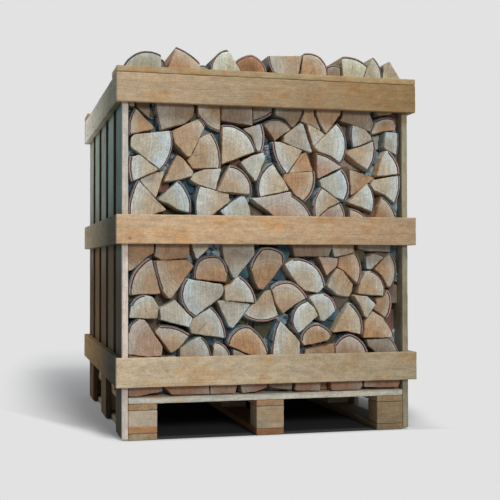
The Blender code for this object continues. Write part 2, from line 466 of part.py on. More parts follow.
def main():
    clear_scene()
    collections = {}
    for key, name in (("part", "firewood_crate"), ("guides", "firewood_crate_cutters")):
        collections[key] = bpy.data.collections.new(name)
        bpy.context.scene.collection.children.link(collections[key])
    materials = make_materials()
    build_pallet(materials, collections["part"])
    build_walls(materials, collections["part"])
    build_belts(materials, collections["part"])

    whole_width = BOTTOM_COURSE + COURSE_UNDER_CAP
    front = UPPER_WINDOW + LOWER_WINDOW + whole_width
    rear = raised(LOWER_WINDOW, WINDOW_PITCH) + raised(UPPER_WINDOW, -WINDOW_PITCH) + whole_width
    crown = raised([log[1:] for log in TOP_LOGS], 100 * (CAP_TOP + JOINT_GAP))
    end_row("firewood_row_front", -1, front, [], materials, collections)
    middle_row("firewood_row_middle", mirrored(front), mirrored(crown), materials, collections)
    end_row("firewood_row_rear", 1, rear, crown, materials, collections)
    build_top_logs(materials, collections["part"])


main()
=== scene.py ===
"""Looks for a crate of birch firewood: split logs in three rows on a pallet, held in by boards and belts.

Lengths are in metres unless a comment says otherwise. X runs to the right, Y away from the front and Z up.
"""
import math

import bpy
import numpy as np
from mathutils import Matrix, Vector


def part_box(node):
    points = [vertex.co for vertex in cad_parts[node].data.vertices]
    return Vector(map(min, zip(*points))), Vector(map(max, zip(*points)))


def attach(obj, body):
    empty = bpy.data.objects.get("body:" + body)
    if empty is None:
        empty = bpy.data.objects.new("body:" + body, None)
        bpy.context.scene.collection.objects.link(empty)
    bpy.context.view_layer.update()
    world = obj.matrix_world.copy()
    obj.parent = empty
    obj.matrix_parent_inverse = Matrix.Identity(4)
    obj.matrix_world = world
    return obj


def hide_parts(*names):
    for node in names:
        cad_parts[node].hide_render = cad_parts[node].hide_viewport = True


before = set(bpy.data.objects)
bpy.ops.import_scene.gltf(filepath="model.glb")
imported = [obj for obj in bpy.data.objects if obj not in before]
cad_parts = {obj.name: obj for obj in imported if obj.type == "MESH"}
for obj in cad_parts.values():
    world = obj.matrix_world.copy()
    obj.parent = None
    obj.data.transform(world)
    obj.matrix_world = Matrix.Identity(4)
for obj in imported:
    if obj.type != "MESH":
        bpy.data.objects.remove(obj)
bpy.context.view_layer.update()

bl_info = {
    "name": "Crate of Birch Firewood",
    "version": (1, 0, 0),
    "blender": (4, 5, 0),
    "location": "3D View > Sidebar > Firewood",
    "description": "Dresses the frame of a firewood crate with sawn boards and split birch logs",
    "category": "Object",
}

FACE = 0.4975  # half the depth of the pallet, less a little clearance
ROW_END = 0.168  # from the middle of the crate to where the front and rear rows end
HALF_LOG = 0.1625  # half the length of a log of the middle row
CAP_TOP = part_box("cap_front")[1].z
CAP_EDGE = -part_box("cap_front")[1].y
DECK_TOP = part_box("deck_board_1")[1].z
ROW_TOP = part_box("cap_front")[0].z - 0.0005
TOP_LOG_LENGTH = 0.315
# What a front or rear row may fill, as its (x, z) corners
ROOM = ((-0.4985, DECK_TOP + 0.0004), (0.4985, ROW_TOP))
# A gap between logs with more room round its middle than this gets a split of its own
GAP_TO_FILL = 0.0085

# Log ends as seen from the front, in centimetres: the tone of the wood, how far the end lies behind the face
# of the row, and the corners as (x, z). A third number is the height of the bark arc from there to the next.
# The brown logs along the top of this window, under the top belt, take their dark tone partly as painted
# shade of the belt.
UPPER_WINDOW = [
    ("orange", 0.6, [(-49.7, 103.4, 0.8), (-47.7, 112.5), (-41.3, 106.2), (-41.7, 105.4), (-48.0, 104.0)]),
    ("brown", 3.0, [(-46.4, 113.2), (-42.4, 109.7), (-42.0, 119.0), (-47.2, 118.8)]),
    ("brown", 0.4, [(-38.9, 105.4), (-30.2, 107.9), (-27.4, 110.3), (-27.1, 113.5), (-29.5, 118.6),
         (-41.2, 118.6, 0.3)]),
    ("pale", 0.8, [(-49.0, 99.3), (-48.9, 102.3), (-47.9, 103.4), (-35.0, 105.0, 1.7), (-38.6, 91.7)]),
    ("tan", 0.5, [(-34.6, 105.0), (-25.2, 109.6, 0.2), (-23.2, 107.1), (-28.3, 96.5), (-29.4, 96.6),
         (-33.7, 101.0)]),
    ("tan", 1.2, [(-20.6, 105.0, 1.2), (-17.5, 93.0), (-27.3, 92.5), (-29.2, 95.2), (-27.5, 97.0),
         (-24.9, 102.8)]),
    ("orange", 0.9, [(-17.8, 105.4), (-17.5, 118.4), (-25.6, 117.4), (-25.1, 110.5, 0.9)]),
    ("brown", 0.7, [(-17.0, 109.4), (-6.0, 108.0), (-6.4, 118.6), (-16.9, 118.2)]),
    ("brown", 1.4, [(-5.2, 109.2, 0.3), (1.2, 112.3), (1.6, 118.5), (-5.9, 118.5)]),
    ("cream", 0.2, [(-16.8, 107.6, 2.9), (-5.0, 99.0), (-17.1, 94.2)]),
    ("grey", 0.8, [(-9.0, 106.6), (-2.5, 108.6, 0.9), (-2.5, 98.9), (-4.2, 99.2), (-6.1, 104.2)]),
    ("white", 0.3, [(-10.3, 94.8), (-6.0, 97.2), (-2.2, 98.3), (-1.5, 96.5), (-4.8, 88.5), (-5.4, 88.8)]),
    ("tan", 0.0, [(-14.1, 93.6, 2.6), (-6.6, 83.8), (-18.8, 84.7)]),
    ("cream", 1.0, [(-28.2, 88.5), (-26.9, 90.6), (-23.2, 92.0), (-17.4, 92.4), (-19.3, 85.3),
         (-25.2, 86.9)]),
    ("tan", 0.6, [(-32.7, 96.7), (-30.6, 95.2), (-27.4, 91.3), (-27.7, 89.9), (-32.0, 88.5),
         (-37.4, 87.7), (-34.2, 94.3)]),
    ("cream", 1.8, [(-45.7, 88.1), (-40.0, 90.8), (-37.3, 91.2), (-40.2, 82.1)]),
    ("pale", 0.2, [(-49.5, 95.6), (-46.0, 96.3), (-39.8, 91.6), (-46.4, 88.6), (-49.0, 87.4, 0.5)]),
    ("cream", 0.5, [(-46.7, 88.0), (-40.4, 81.3), (-36.9, 78.0), (-44.0, 75.3), (-49.8, 73.0, 1.2)]),
    ("pale", 0.3, [(-39.6, 81.4), (-32.4, 87.9, 1.5), (-28.2, 77.0), (-33.2, 78.3), (-36.0, 80.2)]),
    ("cream", 0.4, [(-25.3, 86.2), (-19.3, 84.6), (-14.8, 83.7), (-14.6, 81.1), (-19.6, 77.2),
         (-25.5, 73.0, 1.3)]),
    ("white", 0.7, [(-9.9, 83.2), (-9.0, 83.0), (-7.4, 79.5), (-6.5, 75.0), (-12.0, 73.0), (-17.6, 77.7),
         (-14.0, 80.3)]),
    ("pink", 0.3, [(-6.3, 82.2), (0.2, 83.2), (7.8, 84.8), (8.8, 83.4, 1.4), (16.2, 74.2), (4.0, 74.6),
         (-1.2, 78.6)]),
    ("brown", 5.0, [(-8.0, 82.2), (-6.9, 81.4), (-1.6, 78.0), (2.5, 74.8), (-5.7, 74.8)]),
    ("cream", 0.1, [(0.8, 94.8), (5.0, 89.0), (7.2, 85.5), (0.1, 83.9), (-3.9, 83.0, 2.2)]),
    ("brown", 0.8, [(-1.8, 108.8, 2.3), (8.3, 107.1), (4.4, 104.7), (2.3, 102.9)]),
    ("brown", 0.6, [(8.7, 107.8), (10.9, 110.0), (12.3, 113.3), (12.5, 118.5), (3.0, 118.5), (2.6, 112.1),
         (5.8, 110.9)]),
    ("orange", 1.0, [(12.1, 110.2), (13.2, 112.6), (13.5, 118.3), (17.0, 118.2), (16.9, 112.4),
         (19.2, 107.2), (15.8, 109.0)]),
    ("orange", 0.4, [(17.9, 112.6), (18.0, 118.4), (26.8, 118.5), (26.6, 112.9), (21.3, 106.1),
         (19.5, 109.1)]),
    ("pale", 0.5, [(14.2, 109.2), (18.6, 106.9), (20.8, 105.5), (16.5, 101.4), (15.9, 103.5)]),
    ("grey", 0.3, [(11.7, 109.3), (12.5, 108.7), (15.8, 99.1), (13.4, 99.7), (9.0, 101.1), (5.3, 102.6),
         (5.7, 104.6)]),
    ("cream", 0.4, [(1.1, 102.2), (3.9, 102.3), (8.9, 100.8), (12.2, 99.5), (10.8, 97.4), (6.8, 91.7),
         (5.4, 91.5, 0.9)]),
    ("white", 0.0, [(16.7, 101.0), (21.3, 105.4), (25.6, 109.5, 2.6), (26.8, 95.5), (22.4, 98.3),
         (18.1, 99.6)]),
    ("brown", 1.2, [(27.1, 110.9), (28.0, 112.2), (28.3, 118.5), (38.9, 118.3), (38.6, 113.0),
         (39.7, 110.2), (38.7, 107.5), (36.7, 108.2), (31.1, 109.8)]),
    ("grey", 0.7, [(31.2, 109.4), (36.4, 107.7), (38.6, 105.4), (38.8, 104.2), (33.5, 101.9),
         (31.4, 101.3, 0.4)]),
    ("tan", 0.2, [(29.2, 98.7), (30.4, 100.1), (39.7, 103.4, 1.2), (37.4, 93.2), (33.5, 95.6)]),
    ("orange", 0.5, [(38.9, 106.4), (43.0, 107.5), (47.7, 108.0), (48.0, 109.4), (46.9, 112.2, 0.7),
         (40.4, 111.0)]),
    ("grey", 0.6, [(44.4, 107.1), (49.2, 106.9, 0.2), (48.7, 98.9), (46.4, 100.1), (43.9, 101.4)]),
    ("white", 5.0, [(40.3, 105.9), (43.6, 106.8), (43.3, 101.6), (40.9, 101.0)]),
    ("pale", 0.1, [(40.6, 91.2), (42.6, 97.6), (44.2, 100.3), (45.8, 99.7, 0.9), (49.3, 92.2)]),
    ("pale", 0.5, [(38.6, 87.9), (39.8, 89.7), (49.6, 91.5, 0.7), (48.0, 81.5), (44.0, 84.5),
         (40.0, 86.0)]),
    ("orange", 1.6, [(30.9, 93.3), (40.3, 90.5), (37.8, 88.8), (31.2, 84.2)]),
    ("pale", 0.3, [(29.8, 81.5), (37.2, 88.2, 1.3), (39.0, 78.2), (34.5, 80.0)]),
    ("orange", 0.6, [(30.4, 73.2), (30.6, 79.4, 1.3), (38.4, 73.2)]),
    ("orange", 0.8, [(39.6, 73.2), (42.8, 83.8, 1.5), (48.9, 73.2)]),
    ("white", 0.2, [(18.9, 89.1), (27.4, 93.0, 1.8), (28.6, 82.1), (24.8, 83.4), (19.4, 87.0)]),
    ("tan", 0.5, [(19.1, 86.6), (24.6, 83.0), (26.4, 81.6), (22.4, 79.8), (18.2, 76.4), (17.2, 75.0, 1.4)]),
    ("pink", 0.9, [(18.7, 76.0), (22.6, 79.3), (26.9, 81.1, 0.8), (28.4, 73.4), (19.5, 73.2)]),
    ("orange", 0.1, [(5.6, 91.0), (16.7, 92.2, 1.6), (13.2, 81.5), (9.3, 84.2), (5.4, 89.2)]),
    ("orange", 0.9, [(7.6, 91.6), (11.8, 98.0), (13.9, 99.1), (16.2, 92.6)]),
    ("pink", 0.4, [(17.9, 99.0, 0.5), (26.6, 95.1), (26.7, 93.9), (22.5, 92.0), (18.1, 89.8)]),
    ("pink", 4.5, [(28.0, 97.0), (29.1, 97.5), (36.0, 93.2), (31.2, 94.0), (27.6, 94.2)]),
    ("orange", 0.8, [(-49.6, 113.6), (-47.9, 113.2), (-47.9, 118.6), (-49.4, 118.8)]),
    ("tan", 0.6, [(41.2, 113.3), (46.5, 114.0), (49.3, 117.0), (49.0, 118.6), (40.4, 118.6)]),
]
LOWER_WINDOW = [
    ("orange", 0.6, [(-49.8, 57.2), (-48.6, 57.4), (-43.2, 62.1), (-41.2, 63.3), (-41.4, 70.4),
         (-49.9, 70.6)]),
    ("orange", 0.9, [(-40.6, 62.2), (-38.3, 60.9), (-28.8, 61.6), (-28.5, 70.4), (-39.4, 70.2)]),
    ("cream", 1.5, [(-27.4, 66.0), (-25.8, 61.1), (-21.7, 65.0), (-21.5, 70.3), (-27.7, 70.4)]),
    ("tan", 0.3, [(-49.6, 49.2), (-38.9, 49.4), (-40.5, 55.0), (-41.8, 60.4), (-43.0, 61.4, 2.0)]),
    ("orange", 0.5, [(-40.9, 60.3), (-29.6, 60.8), (-27.2, 58.8), (-30.3, 54.6), (-34.8, 48.0),
         (-35.8, 47.9), (-38.5, 51.2, 0.3)]),
    ("orange", 0.7, [(-26.9, 54.4), (-15.8, 53.3), (-15.1, 57.0, 0.6), (-18.0, 61.9, 0.7),
         (-25.0, 61.0, 0.8)]),
    ("grey", 0.4, [(-16.9, 64.9), (-16.1, 60.7), (-13.0, 54.8), (-12.0, 54.8), (-5.4, 62.9), (-6.2, 70.4),
         (-16.6, 70.5)]),
    ("orange", 0.2, [(-2.3, 50.6), (1.7, 55.4), (5.4, 60.3, 0.9), (3.2, 64.4, 0.5), (-2.8, 65.0, 0.6),
         (-6.8, 58.8), (-5.6, 54.2), (-4.0, 51.1)]),
    ("white", 0.3, [(-29.9, 54.2), (-17.2, 52.3), (-16.7, 50.4), (-17.2, 48.4), (-27.1, 41.4, 3.0)]),
    ("cream", 0.1, [(-16.1, 51.2), (-16.0, 46.9), (-8.8, 46.4), (-4.9, 46.1, 1.2), (-10.4, 54.9),
         (-12.3, 54.3), (-13.6, 52.4)]),
    ("cream", 0.2, [(-49.4, 41.3), (-40.0, 41.0), (-39.6, 44.8), (-41.6, 48.2), (-44.8, 48.8, 0.6),
         (-48.8, 45.8)]),
    ("white", 0.0, [(-38.9, 44.2), (-38.7, 40.6), (-34.0, 39.4), (-28.9, 37.9), (-27.8, 40.8),
         (-33.8, 46.8)]),
    ("cream", 0.4, [(-20.8, 44.4, 1.2), (-15.9, 34.0), (-27.8, 35.7), (-28.5, 38.0), (-27.2, 40.6)]),
    ("white", 0.6, [(-18.7, 46.8), (-16.6, 46.6), (-7.1, 45.4), (-10.2, 40.8), (-13.3, 37.4),
         (-14.8, 38.2)]),
    ("tan", 0.5, [(-9.0, 41.4, 1.7), (3.2, 40.9), (1.2, 47.2), (0.4, 50.2), (-1.6, 49.7), (-4.2, 46.1),
         (-6.6, 44.9)]),
    ("pink", 0.3, [(-49.9, 29.0), (-42.5, 28.0), (-38.5, 28.2), (-38.3, 31.4), (-44.3, 40.4),
         (-46.8, 40.7, 0.7), (-49.9, 36.5)]),
    ("tan", 0.8, [(-40.3, 36.3), (-38.4, 38.3, 0.9), (-28.6, 35.3), (-32.4, 30.6), (-34.9, 29.1)]),
    ("grey", 0.6, [(-31.9, 23.6), (-31.8, 30.5), (-25.5, 34.2), (-24.0, 34.1, 0.7), (-20.8, 26.5),
         (-21.5, 23.6)]),
    ("cream", 1.5, [(-20.0, 24.0), (-19.8, 31.3), (-18.6, 32.6, 0.9), (-13.8, 27.5), (-14.5, 24.0)]),
    ("orange", 0.4, [(-15.0, 32.3, 0.6), (-11.6, 37.0, 0.4), (-7.2, 37.7, 1.0), (-0.5, 29.3), (-1.6, 27.4),
         (-6.5, 27.8), (-14.2, 31.1)]),
    # This brown log under the middle belt takes its dark tone partly as painted shade of the belt.
    ("brown", 1.0, [(8.9, 65.3), (9.6, 62.2), (22.2, 62.3), (23.4, 65.0), (23.5, 70.4), (8.6, 70.4)]),
    ("tan", 1.3, [(24.1, 66.0), (24.8, 62.0), (32.2, 63.6), (31.5, 70.4), (24.2, 70.4)]),
    ("cream", 0.1, [(5.8, 59.3), (9.2, 61.3, 3.0), (20.6, 52.0), (18.0, 49.4), (13.5, 50.1), (10.4, 52.4),
         (8.4, 55.0)]),
    ("pink", 0.8, [(18.6, 61.8), (25.6, 61.5), (25.2, 58.7), (21.6, 55.5), (19.9, 59.2)]),
    ("orange", 0.4, [(26.3, 61.6), (32.5, 63.2, 1.6), (33.4, 52.2), (28.5, 56.7), (25.7, 58.4)]),
    ("grey", 1.0, [(36.6, 61.9), (39.8, 63.1), (43.2, 61.8), (38.7, 57.7), (37.0, 57.9)]),
    ("orange", 0.6, [(39.9, 57.6), (44.0, 61.7), (46.2, 63.3, 1.9), (46.3, 51.2), (44.9, 51.4),
         (42.7, 55.4)]),
    ("tan", 0.5, [(25.5, 57.8), (27.6, 56.8), (31.2, 52.1), (30.8, 49.5), (29.7, 47.8), (25.4, 48.6),
         (21.8, 51.4), (23.2, 54.8)]),
    ("tan", 0.2, [(36.1, 56.6), (38.4, 56.8, 1.9), (43.2, 48.1), (33.2, 48.9), (34.2, 53.0)]),
    ("tan", 0.3, [(1.0, 51.4, 1.0), (8.7, 52.9, 0.6), (13.9, 47.6), (9.6, 45.5), (5.0, 42.1), (2.3, 46.2)]),
    ("white", 0.1, [(13.6, 46.5), (16.3, 44.0), (17.8, 41.2), (15.4, 39.2), (10.3, 34.9, 3.6)]),
    ("white", 0.3, [(14.9, 47.5), (16.9, 48.4), (20.8, 48.8, 0.9), (24.9, 43.3), (20.3, 39.3), (18.8, 39.6),
         (18.4, 42.0), (16.8, 44.8)]),
    ("tan", 0.0, [(29.6, 45.2), (30.4, 45.2, 1.7), (34.6, 34.4), (28.2, 35.7), (23.4, 35.3)]),
    ("cream", 0.2, [(31.9, 48.1), (36.6, 47.8), (39.8, 44.8), (36.5, 40.3), (35.7, 41.0), (34.2, 44.5)]),
    ("orange", 0.7, [(39.3, 43.5), (40.7, 45.0), (40.2, 46.9), (44.0, 47.6), (44.9, 50.1, 1.6),
         (44.4, 39.9)]),
    ("orange", 0.5, [(38.9, 42.4), (43.5, 39.5, 0.5), (47.0, 33.1), (35.5, 33.1), (35.9, 38.6)]),
    ("cream", 0.2, [(3.3, 39.8), (8.2, 35.2), (11.1, 31.8), (10.9, 26.0), (6.0, 23.8), (0.9, 25.8, 0.9)]),
    ("orange", 0.3, [(11.6, 33.0, 0.5), (14.1, 37.1, 0.4), (18.2, 38.2, 0.6), (23.1, 34.7), (21.4, 32.3),
         (12.8, 30.8)]),
    ("orange", 1.2, [(13.4, 25.5), (13.7, 29.2), (24.3, 31.0), (24.6, 25.0)]),
    ("pink", 0.5, [(25.0, 24.0), (24.7, 31.3, 0.5), (28.8, 34.3, 0.3), (32.0, 33.8, 0.7), (36.8, 28.3),
         (36.5, 24.0)]),
    ("brown", 0.8, [(37.3, 30.2), (37.0, 32.2), (46.0, 32.5, 0.8), (49.4, 24.6), (41.0, 24.2),
         (39.8, 28.2)]),
    ("grey", 2.2, [(34.3, 65.0), (38.5, 64.3), (46.5, 64.1), (47.2, 70.3), (34.0, 70.4)]),
    ("tan", 1.0, [(-49.6, 23.2), (-33.2, 23.0), (-33.4, 27.8), (-42.5, 27.4), (-49.5, 28.4)]),
    ("pink", 0.8, [(-13.0, 23.2), (-0.6, 23.0), (-0.9, 26.6), (-6.6, 27.2), (-12.9, 29.6)]),
    ("tan", 1.6, [(-5.0, 67.0), (0.0, 66.4), (7.9, 66.6), (7.8, 70.4), (-5.3, 70.4)]),
]
BOTTOM_COURSE = [
    ("brick", 0.4, [(-49.6, 14.8), (-46.8, 14.7), (-38.2, 16.3), (-38.8, 22.3), (-49.4, 22.6)]),
    ("brick", 0.6, [(-34.6, 14.9), (-21.7, 14.8), (-22.0, 22.2), (-37.0, 22.5), (-37.3, 17.8)]),
    ("brick", 0.3, [(-21.2, 14.7), (-12.6, 14.9), (-11.7, 17.5), (-12.5, 22.4), (-21.3, 22.6)]),
    ("brick", 0.5, [(-9.9, 14.8), (-5.0, 15.1), (-1.0, 16.6), (-0.6, 22.3), (-10.8, 22.4)]),
    ("brown", 0.8, [(0.2, 16.6), (3.2, 16.0), (8.2, 15.2), (8.6, 22.0), (0.4, 22.3)]),
    ("brick", 0.4, [(9.6, 15.1), (18.6, 14.7), (19.2, 22.2), (10.0, 22.5)]),
    ("brick", 3.0, [(20.0, 14.7), (22.2, 14.7), (22.0, 22.0), (20.2, 22.2)]),
    ("brick", 0.2, [(22.9, 14.8), (33.4, 14.7), (34.6, 16.0), (34.0, 22.4), (23.0, 22.2)]),
    ("brick", 0.5, [(35.6, 15.5), (48.6, 15.0), (49.4, 17.2), (48.8, 22.4), (36.0, 22.2)]),
]
COURSE_UNDER_CAP = [
    ("tan", 1.0, [(-48.6, 119.9), (-38.8, 119.9), (-37.6, 123.6), (-49.0, 123.6)]),
    ("tan", 0.6, [(-37.9, 119.9), (-26.9, 119.8), (-26.4, 123.6), (-36.8, 123.6)]),
    ("pink", 0.9, [(-26.0, 119.2), (-15.6, 119.3), (-14.6, 123.6), (-25.8, 123.6)]),
    ("tan", 0.5, [(-14.8, 119.4), (-2.9, 119.3), (-3.2, 123.6), (-13.9, 123.6)]),
    ("orange", 1.0, [(-2.2, 119.4), (9.0, 119.3), (9.8, 123.6), (-2.4, 123.6)]),
    ("tan", 0.7, [(9.9, 119.4), (20.8, 119.2), (20.2, 123.6), (10.6, 123.6)]),
    ("pink", 0.9, [(21.6, 119.3), (32.6, 119.3), (33.3, 123.6), (21.0, 123.6)]),
    ("tan", 0.6, [(34.0, 119.4), (49.2, 119.2), (48.9, 123.6), (34.4, 123.6)]),
]
# The logs on the front cap, with heights counted from the top of the cap
TOP_LOGS = [
    ("ash", 0.2, [(-51.8, 0.0, 3.0), (-38.8, 4.7), (-38.6, 0.0)]),
    ("umber", 4.0, [(-38.0, 0.0), (-38.2, 4.3, 0.5), (-36.4, 2.3), (-36.8, 0.0)]),
    ("amber", 0.0, [(-36.2, 0.0), (-33.5, 7.6, 0.6), (-25.3, 2.7), (-24.7, 0.0)]),
    ("brown", 3.0, [(-24.2, 0.0), (-24.6, 2.3, 0.4), (-21.6, 1.8), (-21.4, 0.0)]),
    ("ivory", 0.3, [(-21.0, 0.0, 1.9), (-15.3, 7.7), (-13.9, 6.3), (-12.3, 3.5), (-10.2, 0.0)]),
    ("russet", 0.6, [(-9.8, 0.0), (-12.0, 4.0, 0.5), (-6.3, 6.5, 1.4), (-0.7, 0.0)]),
    ("tan", 0.2, [(1.9, 0.0, 0.5), (-0.4, 6.3), (12.2, 6.9), (10.7, 0.0)]),
    ("amber", 0.4, [(11.6, 0.0), (13.0, 7.9, 3.2), (22.0, 0.0)]),
    ("brown", 1.6, [(22.4, 0.0), (22.8, 4.2, 0.5), (26.9, 4.3), (27.2, 0.0)]),
    ("ivory", 0.1, [(27.6, 0.0), (27.3, 7.4, 1.0), (36.9, 4.7), (35.2, 0.0)]),
    ("ash", 0.5, [(35.7, 0.0), (37.8, 4.9), (39.4, 8.0, 1.0), (42.8, 0.0)]),
    ("ash", 0.3, [(43.2, 0.0), (43.4, 4.9), (45.7, 6.6), (50.0, 0.0)]),
]

WINDOW_PITCH = 48.0  # between the two windows, in centimetres, so that their logs can change places
# How far a point counts as being from the bark, at most and on a log without bark, in widths of its cut edge
BARE = 6.0


# Sizes and colours

def colour(name, description, default):
    """A colour that a user may change."""
    return bpy.props.FloatVectorProperty(
        name=name, description=description, subtype="COLOR", size=3, min=0, max=1, default=default)


def length(name, description, default):
    """A length that a user may change."""
    return bpy.props.FloatProperty(
        name=name, description=description, unit="LENGTH", subtype="DISTANCE", min=0, precision=4,
        default=default)


class FirewoodSizes(bpy.types.PropertyGroup):
    bark_width: length("Bark", "How wide the bark's cut edge is on the end of a log", 0.0064)
    year_width: length("Year rings", "How far apart the year rings of the birch are", 0.0028)
    board_ring_width: length("Board rings", "How far apart the year rings of the sawn boards are", 0.0045)
    board_edge: length("Board edges", "How far a board's worn edges are rounded", 0.0022)
    nail_width: length("Nail heads", "How wide the head of a nail is", 0.007)
    ridge_height: length("Split ridges", "How high the ridges on a split side are", 0.0012)
    fullness: length("Fullness", "How far a log's side stands outside its traced outline", 0.0009)
    swelling: length("Swelling", "How much a log in a row widens behind its end", 0.0036)
    front_step: length("Front detail", "How far apart the points round a log of the front row are", 0.0044)
    rear_step: length("Rear detail", "How far apart the points round a log of the rear row are", 0.0078)
    middle_step: length("Middle detail", "How far apart the points round a hidden log are", 0.022)


class FirewoodColours(bpy.types.PropertyGroup):
    belt: colour("Belts", "The boards that run round the crate", (0.50, 0.345, 0.20))
    cap: colour("Caps", "The flat boards on the front and rear edges", (0.46, 0.33, 0.19))
    side: colour("Side boards", "The upright boards of the walls", (0.55, 0.46, 0.36))
    pallet: colour("Pallet", "Runners, blocks and deck boards", (0.50, 0.41, 0.30))
    heartwood: colour("Heartwood", "The redder boards in the middle of the pallet", (0.50, 0.25, 0.12))
    latewood: colour("Late wood", "The darker lines in the sawn boards", (0.36, 0.19, 0.085))
    knot: colour("Knots", "The knots in the sawn boards", (0.20, 0.10, 0.045))
    weather: colour("Weathering", "The grey of boards that stood outside", (0.30, 0.29, 0.24))
    inner_bark: colour("Inner bark", "The bark's cut edge", (0.45, 0.255, 0.205))
    dark_bark: colour("Dark bark", "Cracks and old patches of the bark", (0.045, 0.035, 0.035))
    white_bark: colour("White bark", "The papery outside of the bark", (0.40, 0.415, 0.395))
    grey_bark: colour("Grey bark", "Weathered layers of the bark", (0.20, 0.185, 0.17))
    # The front row's bark is the same bark painted bluer and darker: painted cool shade of the gaps it lies
    # in.
    blue_bark: colour("Blue bark", "The papery outside of the bark in the front row", (0.33, 0.41, 0.44))
    slate_bark: colour("Slate bark", "Weathered layers of the bark in the front row", (0.15, 0.21, 0.24))
    nail: colour("Nails", "The steel of the nail heads", (0.22, 0.20, 0.19))


# The wood near the pith and the wood near the bark, for each tone in the lists above
TONES = {
    "tan": ((0.39, 0.268, 0.165), (0.447, 0.399, 0.321)),
    # Brown is partly painted shade where it marks the logs under the belts.
    "brown": ((0.239, 0.164, 0.107), (0.312, 0.263, 0.203)),
    "russet": ((0.20, 0.095, 0.042), (0.32, 0.17, 0.09)),
    "amber": ((0.361, 0.211, 0.111), (0.437, 0.347, 0.251)),
    "ash": ((0.34, 0.275, 0.18), (0.39, 0.37, 0.28)),
    "ivory": ((0.43, 0.39, 0.28), (0.49, 0.50, 0.40)),
    "umber": ((0.15, 0.10, 0.07), (0.20, 0.145, 0.105)),
    "brick": ((0.33, 0.170, 0.103), (0.40, 0.305, 0.232)),
    "pale": ((0.429, 0.367, 0.271), (0.478, 0.52, 0.503)),
    "orange": ((0.361, 0.211, 0.111), (0.437, 0.347, 0.251)),
    "pink": ((0.38, 0.254, 0.178), (0.437, 0.378, 0.321)),
    "grey": ((0.336, 0.277, 0.209), (0.385, 0.399, 0.369)),
    "white": ((0.429, 0.395, 0.316), (0.499, 0.546, 0.535)),
    "cream": ((0.449, 0.357, 0.249), (0.51, 0.509, 0.46)),
    # Dark tones for the kindling in the gaps between logs: painted shade.
    "shade": ((0.17, 0.115, 0.08), (0.19, 0.15, 0.115)),
    "slate": ((0.05, 0.10, 0.13), (0.13, 0.20, 0.23)),
    "maroon": ((0.20, 0.085, 0.06), (0.23, 0.11, 0.08)),
    "moss": ((0.095, 0.08, 0.04), (0.13, 0.11, 0.06)),
    "bark": ((0.20, 0.15, 0.13), (0.16, 0.15, 0.15)),
}
# The record's birch slot to name for a top log, where none has the name of its tone
NEAR_TONES = {"russet": "orange", "amber": "tan", "ash": "grey", "ivory": "white", "umber": "bark"}
# Painted light and shade, with some of the boards' own tone: by how much a board is lighter, darker, greyer
# or bluer than the rest of its kind, or by how much at one end and at the other. Light that falls off to the
# right is painted on the front belts and the pallet's front blocks. The left wall is painted dark as shade,
# browner below and bluish above, and the right post darker. The left belts are painted lighter towards the
# back, and the pallet's runners and stringers mostly darker, as shade under the deck.
PAINTED_LIGHT_AND_TONE = {
    "belt_front_top": ((0.90, 0.92, 0.96), (0.48, 0.42, 0.28)),
    "belt_front_middle": ((1.36, 1.32, 1.30), (0.88, 0.85, 0.85)),
    "belt_front_bottom": ((1.36, 1.48, 1.65), (0.85, 0.94, 0.97)),
    "belt_left_top": ((0.312, 0.432, 0.392), (2.0, 2.7, 3.9)),
    "deck_board_1": ((1.30, 1.45, 1.62), (1.22, 1.34, 1.45)),
    "stringer_middle": ((0.80, 0.92, 0.95),),
    "runner_middle": ((0.58, 0.50, 0.42), (1.30, 1.20, 1.00)),
    "cap_front": ((0.85, 0.83, 0.76), (0.86, 0.80, 0.61)),
    "belt_left_middle": ((0.1, 0.125, 0.075), (1.04, 1.23, 1.33)),
    "belt_left_bottom": ((0.082, 0.09, 0.06), (1.06, 0.86, 0.45)),
    "side_board_left_1": ((0.111, 0.105, 0.0622), (0.191, 0.424, 0.486)),
    "side_board_left_2": ((0.177, 0.139, 0.0675), (0.37, 0.67, 0.766)),
    "side_board_left_3": ((0.278, 0.193, 0.0928), (0.518, 0.759, 0.88)),
    "side_board_left_4": ((0.348, 0.229, 0.0968), (0.639, 0.92, 0.952)),
    "side_board_left_5": ((0.286, 0.17, 0.061), (0.782, 1.03, 1.15)),
    "side_board_right_1": ((0.56, 0.58, 0.50),),
    "block_left_front": ((1.18, 1.16, 1.16),),
    "block_middle_front": ((0.84, 0.74, 0.61),),
    "block_right_front": ((0.53, 0.44, 0.32),),
    "runner_left": ((0.74, 0.70, 0.56),),
    "runner_right": ((0.52, 0.43, 0.31),),
    "stringer_left": ((0.80, 0.62, 0.44),),
    "stringer_right": ((0.60, 0.50, 0.38),),
}
# Over which stretch of its length, as two shares, the painted light and tone changes on these kinds of
# boards. On others it changes over the whole length.
CHANGES = (("side_board", (0.42, 0.68)), ("belt_left", (0.15, 1.0)))
# A part of a board that differs from the rest: along which axis, how far from the low side, and by how much.
# The front edges of the left wall's boards 2 to 5 are painted dark as shade in the gaps between the boards,
# the front edge of its first board is painted bright as a lit face, and the foot of the left front block is
# given an orange tone.
LIGHT_SHADE_AND_TONE_BANDS = {f"side_board_left_{number}": (1, 0.006, (0.16, 0.11, 0.07)) for number in range(2, 6)}
LIGHT_SHADE_AND_TONE_BANDS["side_board_left_1"] = (1, 0.006, (1.28, 1.28, 1.38))
LIGHT_SHADE_AND_TONE_BANDS["block_left_front"] = (2, 0.026, (0.98, 0.58, 0.34))
# Main fills these in with the scene's own FirewoodSizes and FirewoodColours.
SIZES = None
COLOURS = None


# Materials

